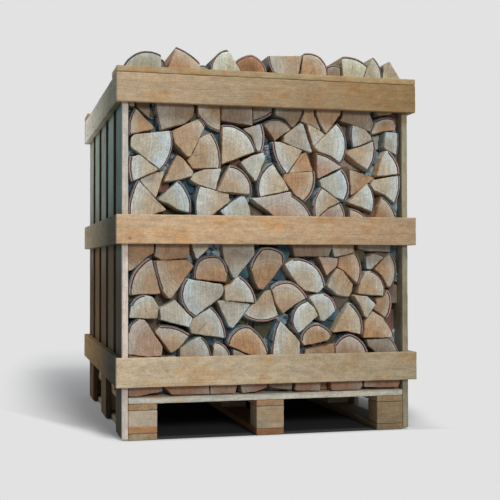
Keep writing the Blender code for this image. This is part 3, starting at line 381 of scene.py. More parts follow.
class Finish:
    """A material that is being made. Each method adds a node and hands back the socket with its result."""

    def __init__(self, name):
        self.material = bpy.data.materials.new(name)
        self.material.use_nodes = True
        self.tree = self.material.node_tree
        self.shader = self.tree.nodes["Principled BSDF"]
        self.shader.inputs["Specular IOR Level"].default_value = 0.3

    def add(self, kind, inputs, output=0, **settings):
        node = self.tree.nodes.new("ShaderNode" + kind)
        for key, value in settings.items():
            setattr(node, key, value)
        for key, value in inputs.items():
            self.feed(node.inputs[key], value)
        return node.outputs[output]

    def feed(self, socket, value):
        if isinstance(value, bpy.types.NodeSocket):
            self.tree.links.new(value, socket)
        elif socket.type == "RGBA":
            socket.default_value = (*value[:3], 1)
        else:
            socket.default_value = value

    def kept(self, name, output="Vector"):
        """What the mesh holds under this name."""
        return self.add("Attribute", {}, output, attribute_name=name)

    def math(self, operation, first, second=0.0, third=0.0):
        return self.add("Math", {0: first, 1: second, 2: third}, operation=operation)

    def vector(self, operation, first, second=(0, 0, 0), output="Vector"):
        return self.add("VectorMath", {0: first, 1: second}, output, operation=operation)

    def times(self, vector, factors):
        """The vector or colour with each part multiplied by its own factor."""
        return self.vector("MULTIPLY", vector, factors)

    def span(self, value, low, high, to_low=0.0, to_high=1.0, kind="SMOOTHSTEP"):
        """The value carried from one range to another, and held within it."""
        ranges = {"Value": value, "From Min": low, "From Max": high, "To Min": to_low, "To Max": to_high}
        return self.add("MapRange", ranges, interpolation_type=kind)

    def noise(self, vector, scale, detail=2.0, roughness=0.5, distortion=0.0):
        inputs = {"Vector": vector, "Scale": scale, "Detail": detail, "Roughness": roughness,
                  "Distortion": distortion}
        return self.add("TexNoise", inputs)

    def streaky(self, vector, factors, *settings):
        """Noise that is finer along some axes than along others."""
        return self.noise(self.times(vector, factors), 1.0, *settings)

    def mix(self, factor, first, second):
        return self.add("Mix", {0: factor, 6: first, 7: second}, 2, data_type="RGBA")

    def shade(self, tint, *factors):
        """The colour made lighter or darker by each factor in turn."""
        for factor in factors:
            tint = self.add("VectorMath", {0: tint, "Scale": factor}, operation="SCALE")
        return tint

    def gentle(self, value, depth):
        """A pattern from 0 to 1 as a factor about 1 that varies by depth each way."""
        return self.span(value, 0.25, 0.75, 1 - depth, 1 + depth, "LINEAR")

    def ramp(self, value, stops):
        node = self.tree.nodes.new("ShaderNodeValToRGB")
        self.feed(node.inputs[0], value)
        for position, tint in stops[1:-1]:
            node.color_ramp.elements.new(position)
        for element, (position, tint) in zip(node.color_ramp.elements, stops):
            element.position = position
            element.color = (*tint, 1)
        return node.outputs[0]

    def finish(self, tint, roughness, height, distance, strength=0.6):
        self.feed(self.shader.inputs["Base Color"], tint)
        self.feed(self.shader.inputs["Roughness"], roughness)
        bump = self.add("Bump", {"Strength": strength, "Distance": distance, "Height": height})
        self.feed(self.shader.inputs["Normal"], bump)
        return self.material


def birch_colour(finish, blotch):
    """The wood's own colour, from the tone of the log and the distance from its pith."""
    outer = finish.math("MULTIPLY_ADD", blotch, 0.6, finish.kept("outwards", "Fac"))
    heart, sap = finish.kept("heart", "Color"), finish.kept("sap", "Color")
    wood = finish.mix(finish.span(outer, 0.72, 1.25), heart, sap)
    stain = finish.span(blotch, 0.52, 0.76, 0.0, 0.55)
    return finish.mix(stain, wood, finish.times(wood, (0.96, 0.76, 0.56)))


def make_end_grain():
    """The sawn end of a birch log, with its year rings and the cut edge of its bark."""
    finish = Finish("birch_end_grain")
    pith, spot = finish.kept("pith"), finish.kept("spot")
    own, rim_own = finish.noise(spot, 0.9), finish.noise(spot, 1.3)
    blotch = finish.noise(spot, 24, 4, 0.6)
    cloud = finish.noise(spot, 34, 3, 0.6)
    fine = finish.noise(spot, 190, 4, 0.75)
    radius = finish.vector("LENGTH", finish.times(pith, (1, 0, 1)), output="Value")
    radius = finish.math("MULTIPLY_ADD", finish.noise(spot, 38, 2), 0.009, radius)
    year = finish.math("PINGPONG", finish.math("DIVIDE", radius, SIZES.year_width / 2), 1.0)
    line = finish.span(year, 0.62, 1.0)
    years = finish.add("TexNoise", {"W": radius, "Scale": 150, "Detail": 2}, noise_dimensions="1D")
    parts = finish.add("SeparateXYZ", {0: pith}).node.outputs
    angle = finish.math("ARCTAN2", parts[2], parts[0])
    turn, reach = finish.math("MULTIPLY", angle, 26), finish.math("MULTIPLY", radius, 8)
    rays = finish.noise(finish.add("CombineXYZ", {0: turn, 1: reach}), 1.0, 2)
    saw = finish.streaky(spot, (230, 0, 13), 2, 0.5, 0.4)
    ringed = finish.math("MULTIPLY", line, finish.span(own, 0.42, 0.62, -0.02, -0.16))
    wood = finish.shade(
        birch_colour(finish, blotch), finish.math("ADD", ringed, 1.01),
        finish.gentle(years, 0.08), finish.gentle(rays, 0.09), finish.gentle(saw, 0.20),
        finish.gentle(cloud, 0.19), finish.gentle(fine, 0.34))

    rim = finish.math("MULTIPLY", finish.kept("rim", "Fac"), finish.span(rim_own, 0.35, 0.65, 0.85, 1.3))
    rim = finish.math("MULTIPLY_ADD", finish.noise(spot, 130, 3), 0.5, rim)
    bark = finish.ramp(finish.math("DIVIDE", rim, 1.5), [
        (0.0, COLOURS.dark_bark), (0.24, COLOURS.dark_bark), (0.34, COLOURS.inner_bark),
        (0.52, [0.8 * part for part in COLOURS.inner_bark]), (0.62, (0.055, 0.022, 0.020)),
        (1.0, (0.085, 0.036, 0.029))])
    cool = finish.times(bark, (0.55, 0.85, 0.95))
    bark = finish.mix(finish.span(own, 0.50, 0.60, 0.0, 0.7), bark, cool)
    edge = finish.shade(bark, finish.gentle(finish.noise(spot, 260, 3, 0.7), 0.35),
                        finish.span(rim_own, 0.4, 0.6, 1.15, 0.6))
    wood = finish.shade(wood, finish.span(rim, 1.65, 2.3, 1.09, 1.0))
    tint = finish.mix(finish.span(rim, 1.40, 1.56), edge, wood)

    check = finish.add("SeparateXYZ", {0: finish.kept("check")}).node.outputs
    start, stop = finish.span(check[1], 0.0, 0.008), finish.span(check[1], 0.06, 0.035)
    middle = finish.span(finish.math("ABSOLUTE", check[0]), 0.0009, 0.0003)
    crack = finish.math("MULTIPLY", middle, finish.math("MULTIPLY", start, stop))
    tint = finish.mix(finish.math("MULTIPLY", crack, 0.85), tint, (0.05, 0.028, 0.018))

    height = finish.math("MULTIPLY_ADD", saw, 0.5, finish.math("MULTIPLY", fine, 0.35))
    height = finish.math("MULTIPLY_ADD", line, -0.15, height)
    height = finish.math("SUBTRACT", height, crack)
    return finish.finish(tint, finish.span(fine, 0.3, 0.7, 0.68, 0.86, "LINEAR"), height, 0.0008)


def make_split_side():
    """The torn side of a split log, whose fibres run the length of the log."""
    finish = Finish("birch_split_side")
    spot = finish.kept("spot")
    blotch = finish.noise(spot, 24, 4, 0.55)
    fibres = finish.streaky(spot, (190, 9, 190), 4, 0.62, 0.6)
    streaks = finish.streaky(spot, (46, 3, 46), 2)
    wood = finish.shade(birch_colour(finish, blotch), 1.08, finish.gentle(fibres, 0.17),
                        finish.gentle(streaks, 0.12))
    own = finish.span(finish.noise(spot, 1.1), 0.42, 0.58)
    wood = finish.times(wood, finish.mix(own, (1.06, 0.80, 0.62), (0.80, 0.93, 1.02)))
    wood = finish.mix(finish.span(streaks, 0.52, 0.72, 0.0, 0.5), wood,
                      finish.times(wood, (0.74, 0.55, 0.42)))
    height = finish.math("MULTIPLY_ADD", streaks, 0.8, fibres)
    return finish.finish(wood, finish.span(fibres, 0.3, 0.7, 0.65, 0.85, "LINEAR"), height, 0.002, 0.8)


def make_bark(name, sheet, layer):
    """Birch bark: papery sheets over darker layers, with short dark dashes and rough dark patches."""
    finish = Finish(name)
    spot = finish.kept("spot")
    patches = finish.streaky(spot, (17, 11, 17), 5, 0.62, 0.5)
    dashes = finish.streaky(spot, (42, 250, 42), 2, 0.5)
    peel = finish.streaky(spot, (24, 120, 24), 4, 0.6, 0.8)
    cracks = finish.streaky(spot, (130, 60, 130), 4, 0.7)
    paper = finish.mix(finish.span(peel, 0.40, 0.64), sheet, layer)
    blush = finish.span(finish.noise(spot, 9, 3), 0.52, 0.66, 0.0, 0.6)
    paper = finish.mix(blush, paper, COLOURS.inner_bark)
    paper = finish.shade(paper, finish.gentle(cracks, 0.12))
    dark = finish.mix(finish.span(cracks, 0.4, 0.65), (0.028, 0.036, 0.042), layer)
    dark = finish.shade(dark, 0.8)
    tint = finish.mix(finish.span(dashes, 0.60, 0.68, 0.0, 0.9), paper, COLOURS.dark_bark)
    rough = finish.span(patches, 0.50, 0.60)
    tint = finish.mix(rough, tint, dark)
    height = finish.math("MULTIPLY_ADD", finish.math("MULTIPLY", cracks, rough), 1.6,
                         finish.math("MULTIPLY_ADD", dashes, -0.4, peel))
    return finish.finish(tint, finish.span(patches, 0.4, 0.65, 0.55, 0.9, "LINEAR"), height, 0.0016, 0.8)


def make_board_wood(name, tint, weathering):
    """Sawn softwood: year rings about a wandering pith, knots that push them aside, and some weathering."""
    finish = Finish(f"{name}_sawn")
    grain = finish.kept("grain")
    sway = finish.streaky(grain, (2.2, 7, 7), 2)
    flat = finish.times(grain, (4.6, 6.5, 0))
    cells = finish.add("TexVoronoi", {"Vector": flat, "Scale": 1.0}, voronoi_dimensions="2D").node
    here = finish.span(finish.add("SeparateColor", {0: cells.outputs["Color"]}), 0.68, 0.74)
    away = finish.math("MULTIPLY", cells.outputs["Distance"], 0.19)
    ripple = finish.streaky(grain, (60, 60, 60), 2)
    away = finish.math("MULTIPLY_ADD", ripple, 0.006, away)
    knot = finish.math("MULTIPLY", here, finish.span(away, 0.0115, 0.0075))
    swirl = finish.math("MULTIPLY", here, finish.span(away, 0.060, 0.009))
    radius = finish.vector("LENGTH", finish.times(grain, (0, 1, 1)), output="Value")
    radius = finish.math("MULTIPLY_ADD", sway, 0.030, radius)
    radius = finish.math("MULTIPLY_ADD", swirl, 0.016, radius)
    year = finish.math("FRACT", finish.math("DIVIDE", radius, SIZES.board_ring_width))
    late = finish.math("MULTIPLY", finish.span(year, 0.35, 0.86), finish.span(year, 1.0, 0.9))
    fibres = finish.streaky(grain, (9, 330, 330), 4, 0.6)
    streaks = finish.streaky(grain, (1.7, 34, 34), 3, 0.55)
    clouds = finish.streaky(grain, (4, 9, 9), 4, 0.6)
    scuffs = finish.streaky(grain, (28, 60, 60), 5, 0.7)
    specks = finish.streaky(grain, (200, 260, 260), 3, 0.7)
    warm = finish.span(finish.streaky(grain, (9, 16, 16), 3, 0.6), 0.49, 0.68, 0.0, 0.7)
    wood = finish.mix(finish.math("MULTIPLY", late, 0.21), tint, COLOURS.latewood)
    wood = finish.mix(finish.math("MULTIPLY", swirl, 0.34), wood, COLOURS.latewood)
    wood = finish.mix(warm, wood, finish.times(wood, (1.0, 0.78, 0.52)))
    wood = finish.mix(finish.span(clouds, 0.42, 0.66, 0.0, weathering), wood, COLOURS.weather)
    wood = finish.shade(wood, finish.gentle(fibres, 0.05), finish.gentle(streaks, 0.10),
                        finish.gentle(scuffs, 0.26), finish.gentle(specks, 0.26))
    # The boards' painted light and shade, with some of their own tone, multiplies the wood's colour.
    wood = finish.times(wood, finish.kept("painted_light_tone", "Color"))
    rings = finish.span(finish.math("SINE", finish.math("MULTIPLY", away, 3600)), -1, 1, 0.7, 1.25)
    wood = finish.mix(finish.math("MULTIPLY", knot, 0.5), wood, finish.shade(COLOURS.knot, rings))
    height = finish.math("MULTIPLY_ADD", late, 0.55, fibres)
    height = finish.math("MULTIPLY_ADD", scuffs, 0.8, height)
    return finish.finish(wood, finish.span(streaks, 0.3, 0.7, 0.62, 0.82, "LINEAR"), height, 0.0006, 0.6)


def make_nail_steel():
    """Dull steel with brown rust."""
    finish = Finish("nail_steel")
    place = finish.add("TexCoord", {}, "Object")
    rust = finish.noise(place, 420, 4, 0.65)
    tint = finish.mix(finish.span(rust, 0.42, 0.62), COLOURS.nail, (0.13, 0.055, 0.025))
    finish.shader.inputs["Metallic"].default_value = 0.6
    return finish.finish(tint, finish.span(rust, 0.35, 0.65, 0.42, 0.8, "LINEAR"), rust, 0.0003)


def make_grey_paper(light):
    """The floor: painted dark as shade under the pallet, pale with soft shadows near it,
    and like the backdrop further out.
    """
    finish = Finish("studio_floor")
    place = finish.add("TexCoord", {}, "Object")
    faint = finish.noise(place, 3, 2)
    here = finish.add("SeparateXYZ", {0: place}).node.outputs
    left, front = finish.math("MULTIPLY", here[0], -1), finish.math("MULTIPLY", here[1], -1)
    aside = finish.vector("ABSOLUTE", finish.times(place, (1, 1, 0)))
    depth = finish.add("SeparateXYZ", {0: aside}).node.outputs[1]
    edge = finish.math("MAXIMUM", finish.math("MAXIMUM", left, here[0]), depth)

    # Close to the right side the floor is painted darker as shade, so that no bright floor shows through the
    # pallet.
    from_shade = finish.times(finish.vector("SUBTRACT", place, (0.59, 0.08, 0)), (1.0, 0.4, 1.0))
    shade = finish.span(finish.vector("LENGTH", from_shade, output="Value"), 0.06, 0.23, 0.13, 1.0)
    outside = finish.math("MULTIPLY", finish.span(edge, 0.488, 0.503), shade)
    # Under the pallet the floor is painted nearly black as shade.
    albedo_with_painted_shade = finish.span(outside, 0, 1, 0.055, 0.74, "LINEAR")
    paper = finish.shade((1.05, 1.0, 0.97), albedo_with_painted_shade, finish.gentle(faint, 0.004))
    near = finish.add("BsdfDiffuse", {"Color": paper})

    # The shadow on the left ends in front along a slant. No shadow lies in front of the pallet or far right.
    past_left = finish.math("MAXIMUM", finish.math("SUBTRACT", left, 0.51), 0)
    slant = finish.math("MULTIPLY_ADD", past_left, 2.12, front)
    lit = finish.math("MAXIMUM", finish.span(slant, 0.42, 0.64), finish.span(front, 0.495, 0.53))
    lit = finish.math("MAXIMUM", lit, finish.span(here[0], 0.52, 0.72))
    beyond = finish.vector("MAXIMUM", finish.vector("SUBTRACT", aside, (0.52, 0.52, 0)), (0, 0, 0))
    away = finish.vector("LENGTH", finish.times(beyond, (1, 0.2, 1)), output="Value")
    ray = finish.add("LightPath", {}, "Is Camera Ray")
    strength = finish.span(ray, 0, 1, 0.55, 1.0)
    far = finish.add("Emission", {"Color": (light, light, light), "Strength": strength})
    share = finish.math("MULTIPLY", finish.math("MAXIMUM", finish.span(away, 0.02, 0.46), lit), outside)
    both = finish.add("MixShader", {0: share, 1: near, 2: far})
    output = finish.tree.nodes["Material Output"]
    finish.tree.nodes.remove(finish.shader)
    finish.feed(output.inputs["Surface"], both)
    return finish.material


def birch_materials(bark="birch_pale_bark"):
    """The birch materials with the bark of that name, made once."""
    if "birch_end_grain" not in bpy.data.materials:
        make_end_grain()
        make_split_side()
        make_bark("birch_pale_bark", COLOURS.white_bark, COLOURS.grey_bark)
        # The front row's copy of the bark, painted bluer and darker as cool shade.
        make_bark("birch_bark_painted_shade", COLOURS.blue_bark, COLOURS.slate_bark)
    return {"end": bpy.data.materials["birch_end_grain"], "side": bpy.data.materials["birch_split_side"],
            "bark": bpy.data.materials[bark]}


# Meshes

def mesh_object(name, points, faces, slots, kept, places=None):
    """A mesh object from arrays.

    Faces is a list of (array of corners, number of the material), and kept holds the values at its points.
    """
    mesh = bpy.data.meshes.new(name)
    counts = np.concatenate([np.full(len(corners), corners.shape[1]) for corners, _ in faces])
    mesh.vertices.add(len(points))
    mesh.vertices.foreach_set("co", np.asarray(points, np.float32).ravel())
    mesh.loops.add(int(counts.sum()))
    mesh.loops.foreach_set("vertex_index", np.concatenate([corners.ravel() for corners, _ in faces]))
    mesh.polygons.add(len(counts))
    mesh.polygons.foreach_set("loop_start", np.concatenate([[0], counts.cumsum()[:-1]]))
    mesh.polygons.foreach_set(
        "material_index", np.concatenate([np.broadcast_to(slot, len(corners)) for corners, slot in faces]))
    mesh.polygons.foreach_set("use_smooth", np.ones(len(counts), bool))
    for key, values in kept.items():
        values = np.asarray(values, np.float32)
        kind, field = ("FLOAT", "value") if values.ndim == 1 else ("FLOAT_VECTOR", "vector")
        mesh.attributes.new(key, kind, "POINT").data.foreach_set(field, values.ravel())
    if places is not None:
        mesh.uv_layers.new(name="OFBake").uv.foreach_set("vector", np.asarray(places, np.float32).ravel())
    for material in slots:
        mesh.materials.append(material)
    mesh.update(calc_edges=True)
    mesh.validate()
    piece = bpy.data.objects.new(name, mesh)
    bpy.context.scene.collection.objects.link(piece)
    return piece


def place_piece(piece, slot, *nodes):
    """The piece rides on the crate and stands for these nodes, if any. The slot is not used."""
    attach(piece, "root")
    if nodes:
        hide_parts(*nodes)


def swells(draw, run, waves, drift=0.0):
    """Soft random waves from 0 to the sum of their heights. Each wave is (times it repeats, height)."""
    total = 0.0
    for times, rise in waves:
        phase = draw.uniform(0, 2 * math.pi)
        lean = draw.uniform(-1, 1) * drift
        total = total + rise * (0.5 + 0.5 * np.sin(2 * math.pi * times * run + phase + lean))
    return total


# Boards

# How far apart a board's points are: along the grain, across it and through the board
BOARD_STEPS = (0.018, 0.011, 0.0075)
EDGE_STRIP = 0.0042  # how far in from an edge a board may be rounded


def board_lines(size, step):
    """Where a board's points lie along one axis: close together at its rounded edges, and evenly between."""
    inner = np.linspace(EDGE_STRIP, size - EDGE_STRIP, max(2, round((size - 2 * EDGE_STRIP) / step) + 1))
    return np.concatenate([[0, 0.35 * EDGE_STRIP], inner, [size - 0.35 * EDGE_STRIP, size]])


def board_grid(size, order):
    """The points on a board's six faces, and the faces between them."""
    lines = [None] * 3
    for axis, step in zip(order, BOARD_STEPS):
        lines[axis] = board_lines(size[axis], step)
    counts = [len(line) for line in lines]
    numbers = np.indices(counts)
    outside = np.zeros(counts, bool)
    for axis in range(3):
        outside |= (numbers[axis] == 0) | (numbers[axis] == counts[axis] - 1)
    names = np.full(counts, -1)
    names[outside] = np.arange(outside.sum())
    place = np.stack([lines[axis][numbers[axis][outside]] for axis in range(3)], 1)
    faces = []
    for axis in range(3):
        for end in (0, counts[axis] - 1):
            sheet = np.take(names, end, axis)
            ring = [sheet[:-1, :-1], sheet[1:, :-1], sheet[1:, 1:], sheet[:-1, 1:]]
            if (end == 0) == (axis != 1):
                ring.reverse()
            faces.append((np.stack([part.ravel() for part in ring], 1), 0))
    return place, faces


def board_painted_light(node, own, run, place):
    """At each point, how much a board is painted lighter, darker or greyer, as light and shade or as tone."""
    painted_light_ends = [np.array(painted_light_tone) for painted_light_tone in PAINTED_LIGHT_AND_TONE.get(node, ((1, 1, 1),))]
    start, stop = next((stretch for kind, stretch in CHANGES if node.startswith(kind)), (0.0, 1.0))
    share = np.clip((run - start) / (stop - start), 0, 1)[:, None]
    painted_light_tone = own * (painted_light_ends[0] + (painted_light_ends[-1] - painted_light_ends[0]) * share)
    # A band of painted shade, of painted highlight or of tone takes the place of the rest there.
    if node in LIGHT_SHADE_AND_TONE_BANDS:
        axis, limit, tint = LIGHT_SHADE_AND_TONE_BANDS[node]
        painted_light_tone = np.where(place[:, [axis]] < limit, tint, painted_light_tone)
    return painted_light_tone


def sawn_board(node, material, slot, seed):
    """A sawn board in the place of a node: worn round edges, a rough face and its own stretch of grain."""
    draw = np.random.default_rng([7, seed])
    low, high = (np.array(corner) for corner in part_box(node))
    size = high - low
    order = np.argsort(-size)  # along the grain, across it and through the board
    place, faces = board_grid(size, order)

    run = place[:, order[0]] / size[order[0]]
    around = np.arctan2(place[:, order[2]] - size[order[2]] / 2, place[:, order[1]] - size[order[1]] / 2)
    worn = SIZES.board_edge * (0.45 + swells(draw, run + 0.05 * around, [(3, 0.5), (9, 0.5), (23, 0.45)]))
    radius = np.minimum(worn, EDGE_STRIP)[:, None]
    core = np.clip(place, radius, size - radius)
    away = place - core
    distance = np.linalg.norm(away, axis=1, keepdims=True)
    rounded = core + away / np.maximum(distance, 1e-9) * radius
    dent = swells(draw, run, [(2, 2e-4), (7, 2e-4)]) + swells(
        draw, run * size[order[0]] * 30 + around * 0.6, [(1, 1.5e-4), (2.3, 1.5e-4)])
    inward = np.sign(size / 2 - rounded) * (np.abs(place - core) > 1e-6)
    rounded = rounded + inward * dent[:, None]

    pith = [draw.uniform(-20, 20), draw.uniform(-0.04, 0.04), draw.choice([-1, 1]) * draw.uniform(0.02, 0.07)]
    grain = place[:, order] - size[order] / 2 + pith
    own = np.array([1, 1, 1]) * draw.uniform(0.93, 1.05) + draw.uniform(-0.025, 0.025) * np.array([1, 0, -1])
    # Each point keeps the board's painted light and shade, with some of its own tone.
    kept = {"grain": grain, "painted_light_tone": board_painted_light(node, own, run, place)}
    place_piece(mesh_object(f"{node}_wood", low + rounded, faces, [material], kept), slot, node)


# Nails

NAIL_CORNERS = 12
# A nail head's rings, from its foot to its middle: their share of its width and their height
NAIL_RINGS = ((1.0, -0.0012), (1.0, 0.0003), (0.82, 0.0007), (0.0, 0.0008))
# How far a nail is from the middle of the place where two boards cross, along the belt and upwards
NAIL_OFFSETS = np.array([0.036, 0.026])


def nail_heads(places):
    """Low round heads on a surface. Each place is a point of the surface and the direction that it faces."""
    turns = np.arange(NAIL_CORNERS) * 2 * math.pi / NAIL_CORNERS
    here = np.arange(NAIL_CORNERS)
    after = np.roll(here, -1)
    points, walls, tops = [], [], []
    count = 0
    for point, out in places:
        across, up = np.roll(np.abs(out), 1), np.roll(np.abs(out), 2)
        if sum(out) < 0:
            across, up = up, across
        for share, rise in NAIL_RINGS:
            turned = turns if share else turns[:1]
            wide = share * SIZES.nail_width / 2
            ring = np.outer(wide * np.cos(turned), across) + np.outer(wide * np.sin(turned), up)
            points.append(point + ring + rise * np.array(out))
        for ring in (0, 1):
            first = count + ring * NAIL_CORNERS
            walls.append(first + np.stack([here, after, after + NAIL_CORNERS, here + NAIL_CORNERS], 1))
        last = count + 2 * NAIL_CORNERS
        tops.append(last + np.stack([here, after, np.full(NAIL_CORNERS, NAIL_CORNERS)], 1))
        count = last + NAIL_CORNERS + 1
    faces = [(np.concatenate(walls), 0), (np.concatenate(tops), 0)]
    return mesh_object("nail_heads", np.concatenate(points), faces, [make_nail_steel()], {})


# Logs

# Ridges round a log: how far apart they are, and how high against the ridge height above
RIDGES = ((0.075, 0.9), (0.034, 0.5), (0.019, 0.35), (0.0125, 0.28))
# Waves of a sawn end: how many radians they turn in a metre, and how high they are
SAW_WAVES = ((60, 5e-4), (130, 3e-4), (300, 1.6e-4), (520, 1e-4))
WORN_EDGE = 0.0009  # how far the edge of a sawn end is worn back
THINNEST_TRUNK = 0.045  # the least radius of a trunk
# The rings of a sawn end: how far in from its edge, and then at which shares of the way left to its middle
FINE_END = ((0.0011, 0.0030, 0.0052, 0.0074, 0.0092), (0.28, 0.56, 0.80))
COARSE_END = ((0.0030, 0.0092), (0.55,))
# On the bake's map: the length of a log's side before it is scaled, and the scale of its other end
SIDE_ON_MAP = 0.34
BACK_SCALE = 0.3
# How deep the rings round a log's side lie: where its end shows, where little shows and where its side shows
SIDE_DEPTHS = (0.004, 0.012, 0.028, 0.055, 0.100, 0.170, 0.250)
HIDDEN_DEPTHS = (0.05, 0.165)
OPEN_DEPTHS = tuple(0.004 + 0.018 * step for step in range(18))


def fine_outline(corners, step):
    """A log's outline as dense points, anticlockwise as seen from the front, and which of them are bark."""
    ends = [(np.array(here[:2]) / 100, np.array(after[:2]) / 100, here[2] / 100 if len(here) > 2 else 0.0)
            for here, after in zip(corners, corners[1:] + corners[:1])]
    if sum(a[0] * b[1] - b[0] * a[1] for a, b, _ in ends) < 0:
        ends = [(b, a, rise) for a, b, rise in reversed(ends)]
    points, bark = [], []
    for a, b, rise in ends:
        chord = np.linalg.norm(b - a)
        if rise:
            radius = (chord**2 / 4 + rise**2) / (2 * rise)
            half = math.asin(min(1.0, chord / 2 / radius))
            half = math.pi - half if rise > radius else half
            steps = max(2, round(2 * half * radius / step))
            angle = (2 * np.arange(steps) / steps - 1) * half
            normal = np.array([b[1] - a[1], a[0] - b[0]]) / chord
            new = (a + b) / 2 + np.outer(radius * np.sin(angle) / chord, b - a)
            new = new + np.outer(radius * np.cos(angle) - radius + rise, normal)
        else:
            steps = max(2, round(chord / step))
            new = a + np.outer(np.arange(steps) / steps, b - a)
        points.append(new)
        bark += [bool(rise)] * steps
    return np.concatenate(points), np.array(bark)


def outward_normals(points):
    """The outward direction at each point of an anticlockwise outline."""
    run = np.roll(points, -1, 0) - np.roll(points, 1, 0)
    run /= np.maximum(np.linalg.norm(run, axis=1, keepdims=True), 1e-9)
    return np.stack([run[:, 1], -run[:, 0]], 1)


def middle_of(points):
    """The centre of an outline's area."""
    after = np.roll(points, -1, 0)
    cross = points[:, 0] * after[:, 1] - after[:, 0] * points[:, 1]
    return ((points + after) * cross[:, None]).sum(0) / (3 * cross.sum())


def distance_to(points, starts, ends):
    """How far each point is from the nearest of these stretches."""
    run = ends - starts
    along = ((points[:, None] - starts) * run).sum(2) / np.maximum((run**2).sum(1), 1e-12)
    nearest = starts + along.clip(0, 1)[:, :, None] * run
    return np.linalg.norm(points[:, None] - nearest, axis=2).min(1)


def find_pith(points, bark, draw):
    """Where the middle of the trunk was, and how far the bark lies from there."""
    centre = middle_of(points)
    if not bark.any():
        turn = draw.uniform(0, 2 * math.pi)
        pith = centre + draw.uniform(0.02, 0.06) * np.array([math.cos(turn), math.sin(turn)])
        return pith, 1.15 * np.linalg.norm(points - pith, axis=1).max()
    out = outward_normals(points)[bark].mean(0)
    out /= max(np.linalg.norm(out), 1e-9)
    crest = points[bark][np.argmax(points[bark] @ out)]
    reach = ((crest - points) @ out).max()
    radius = max(reach * draw.uniform(0.85, 1.1), THINNEST_TRUNK)
    return crest - out * radius, radius


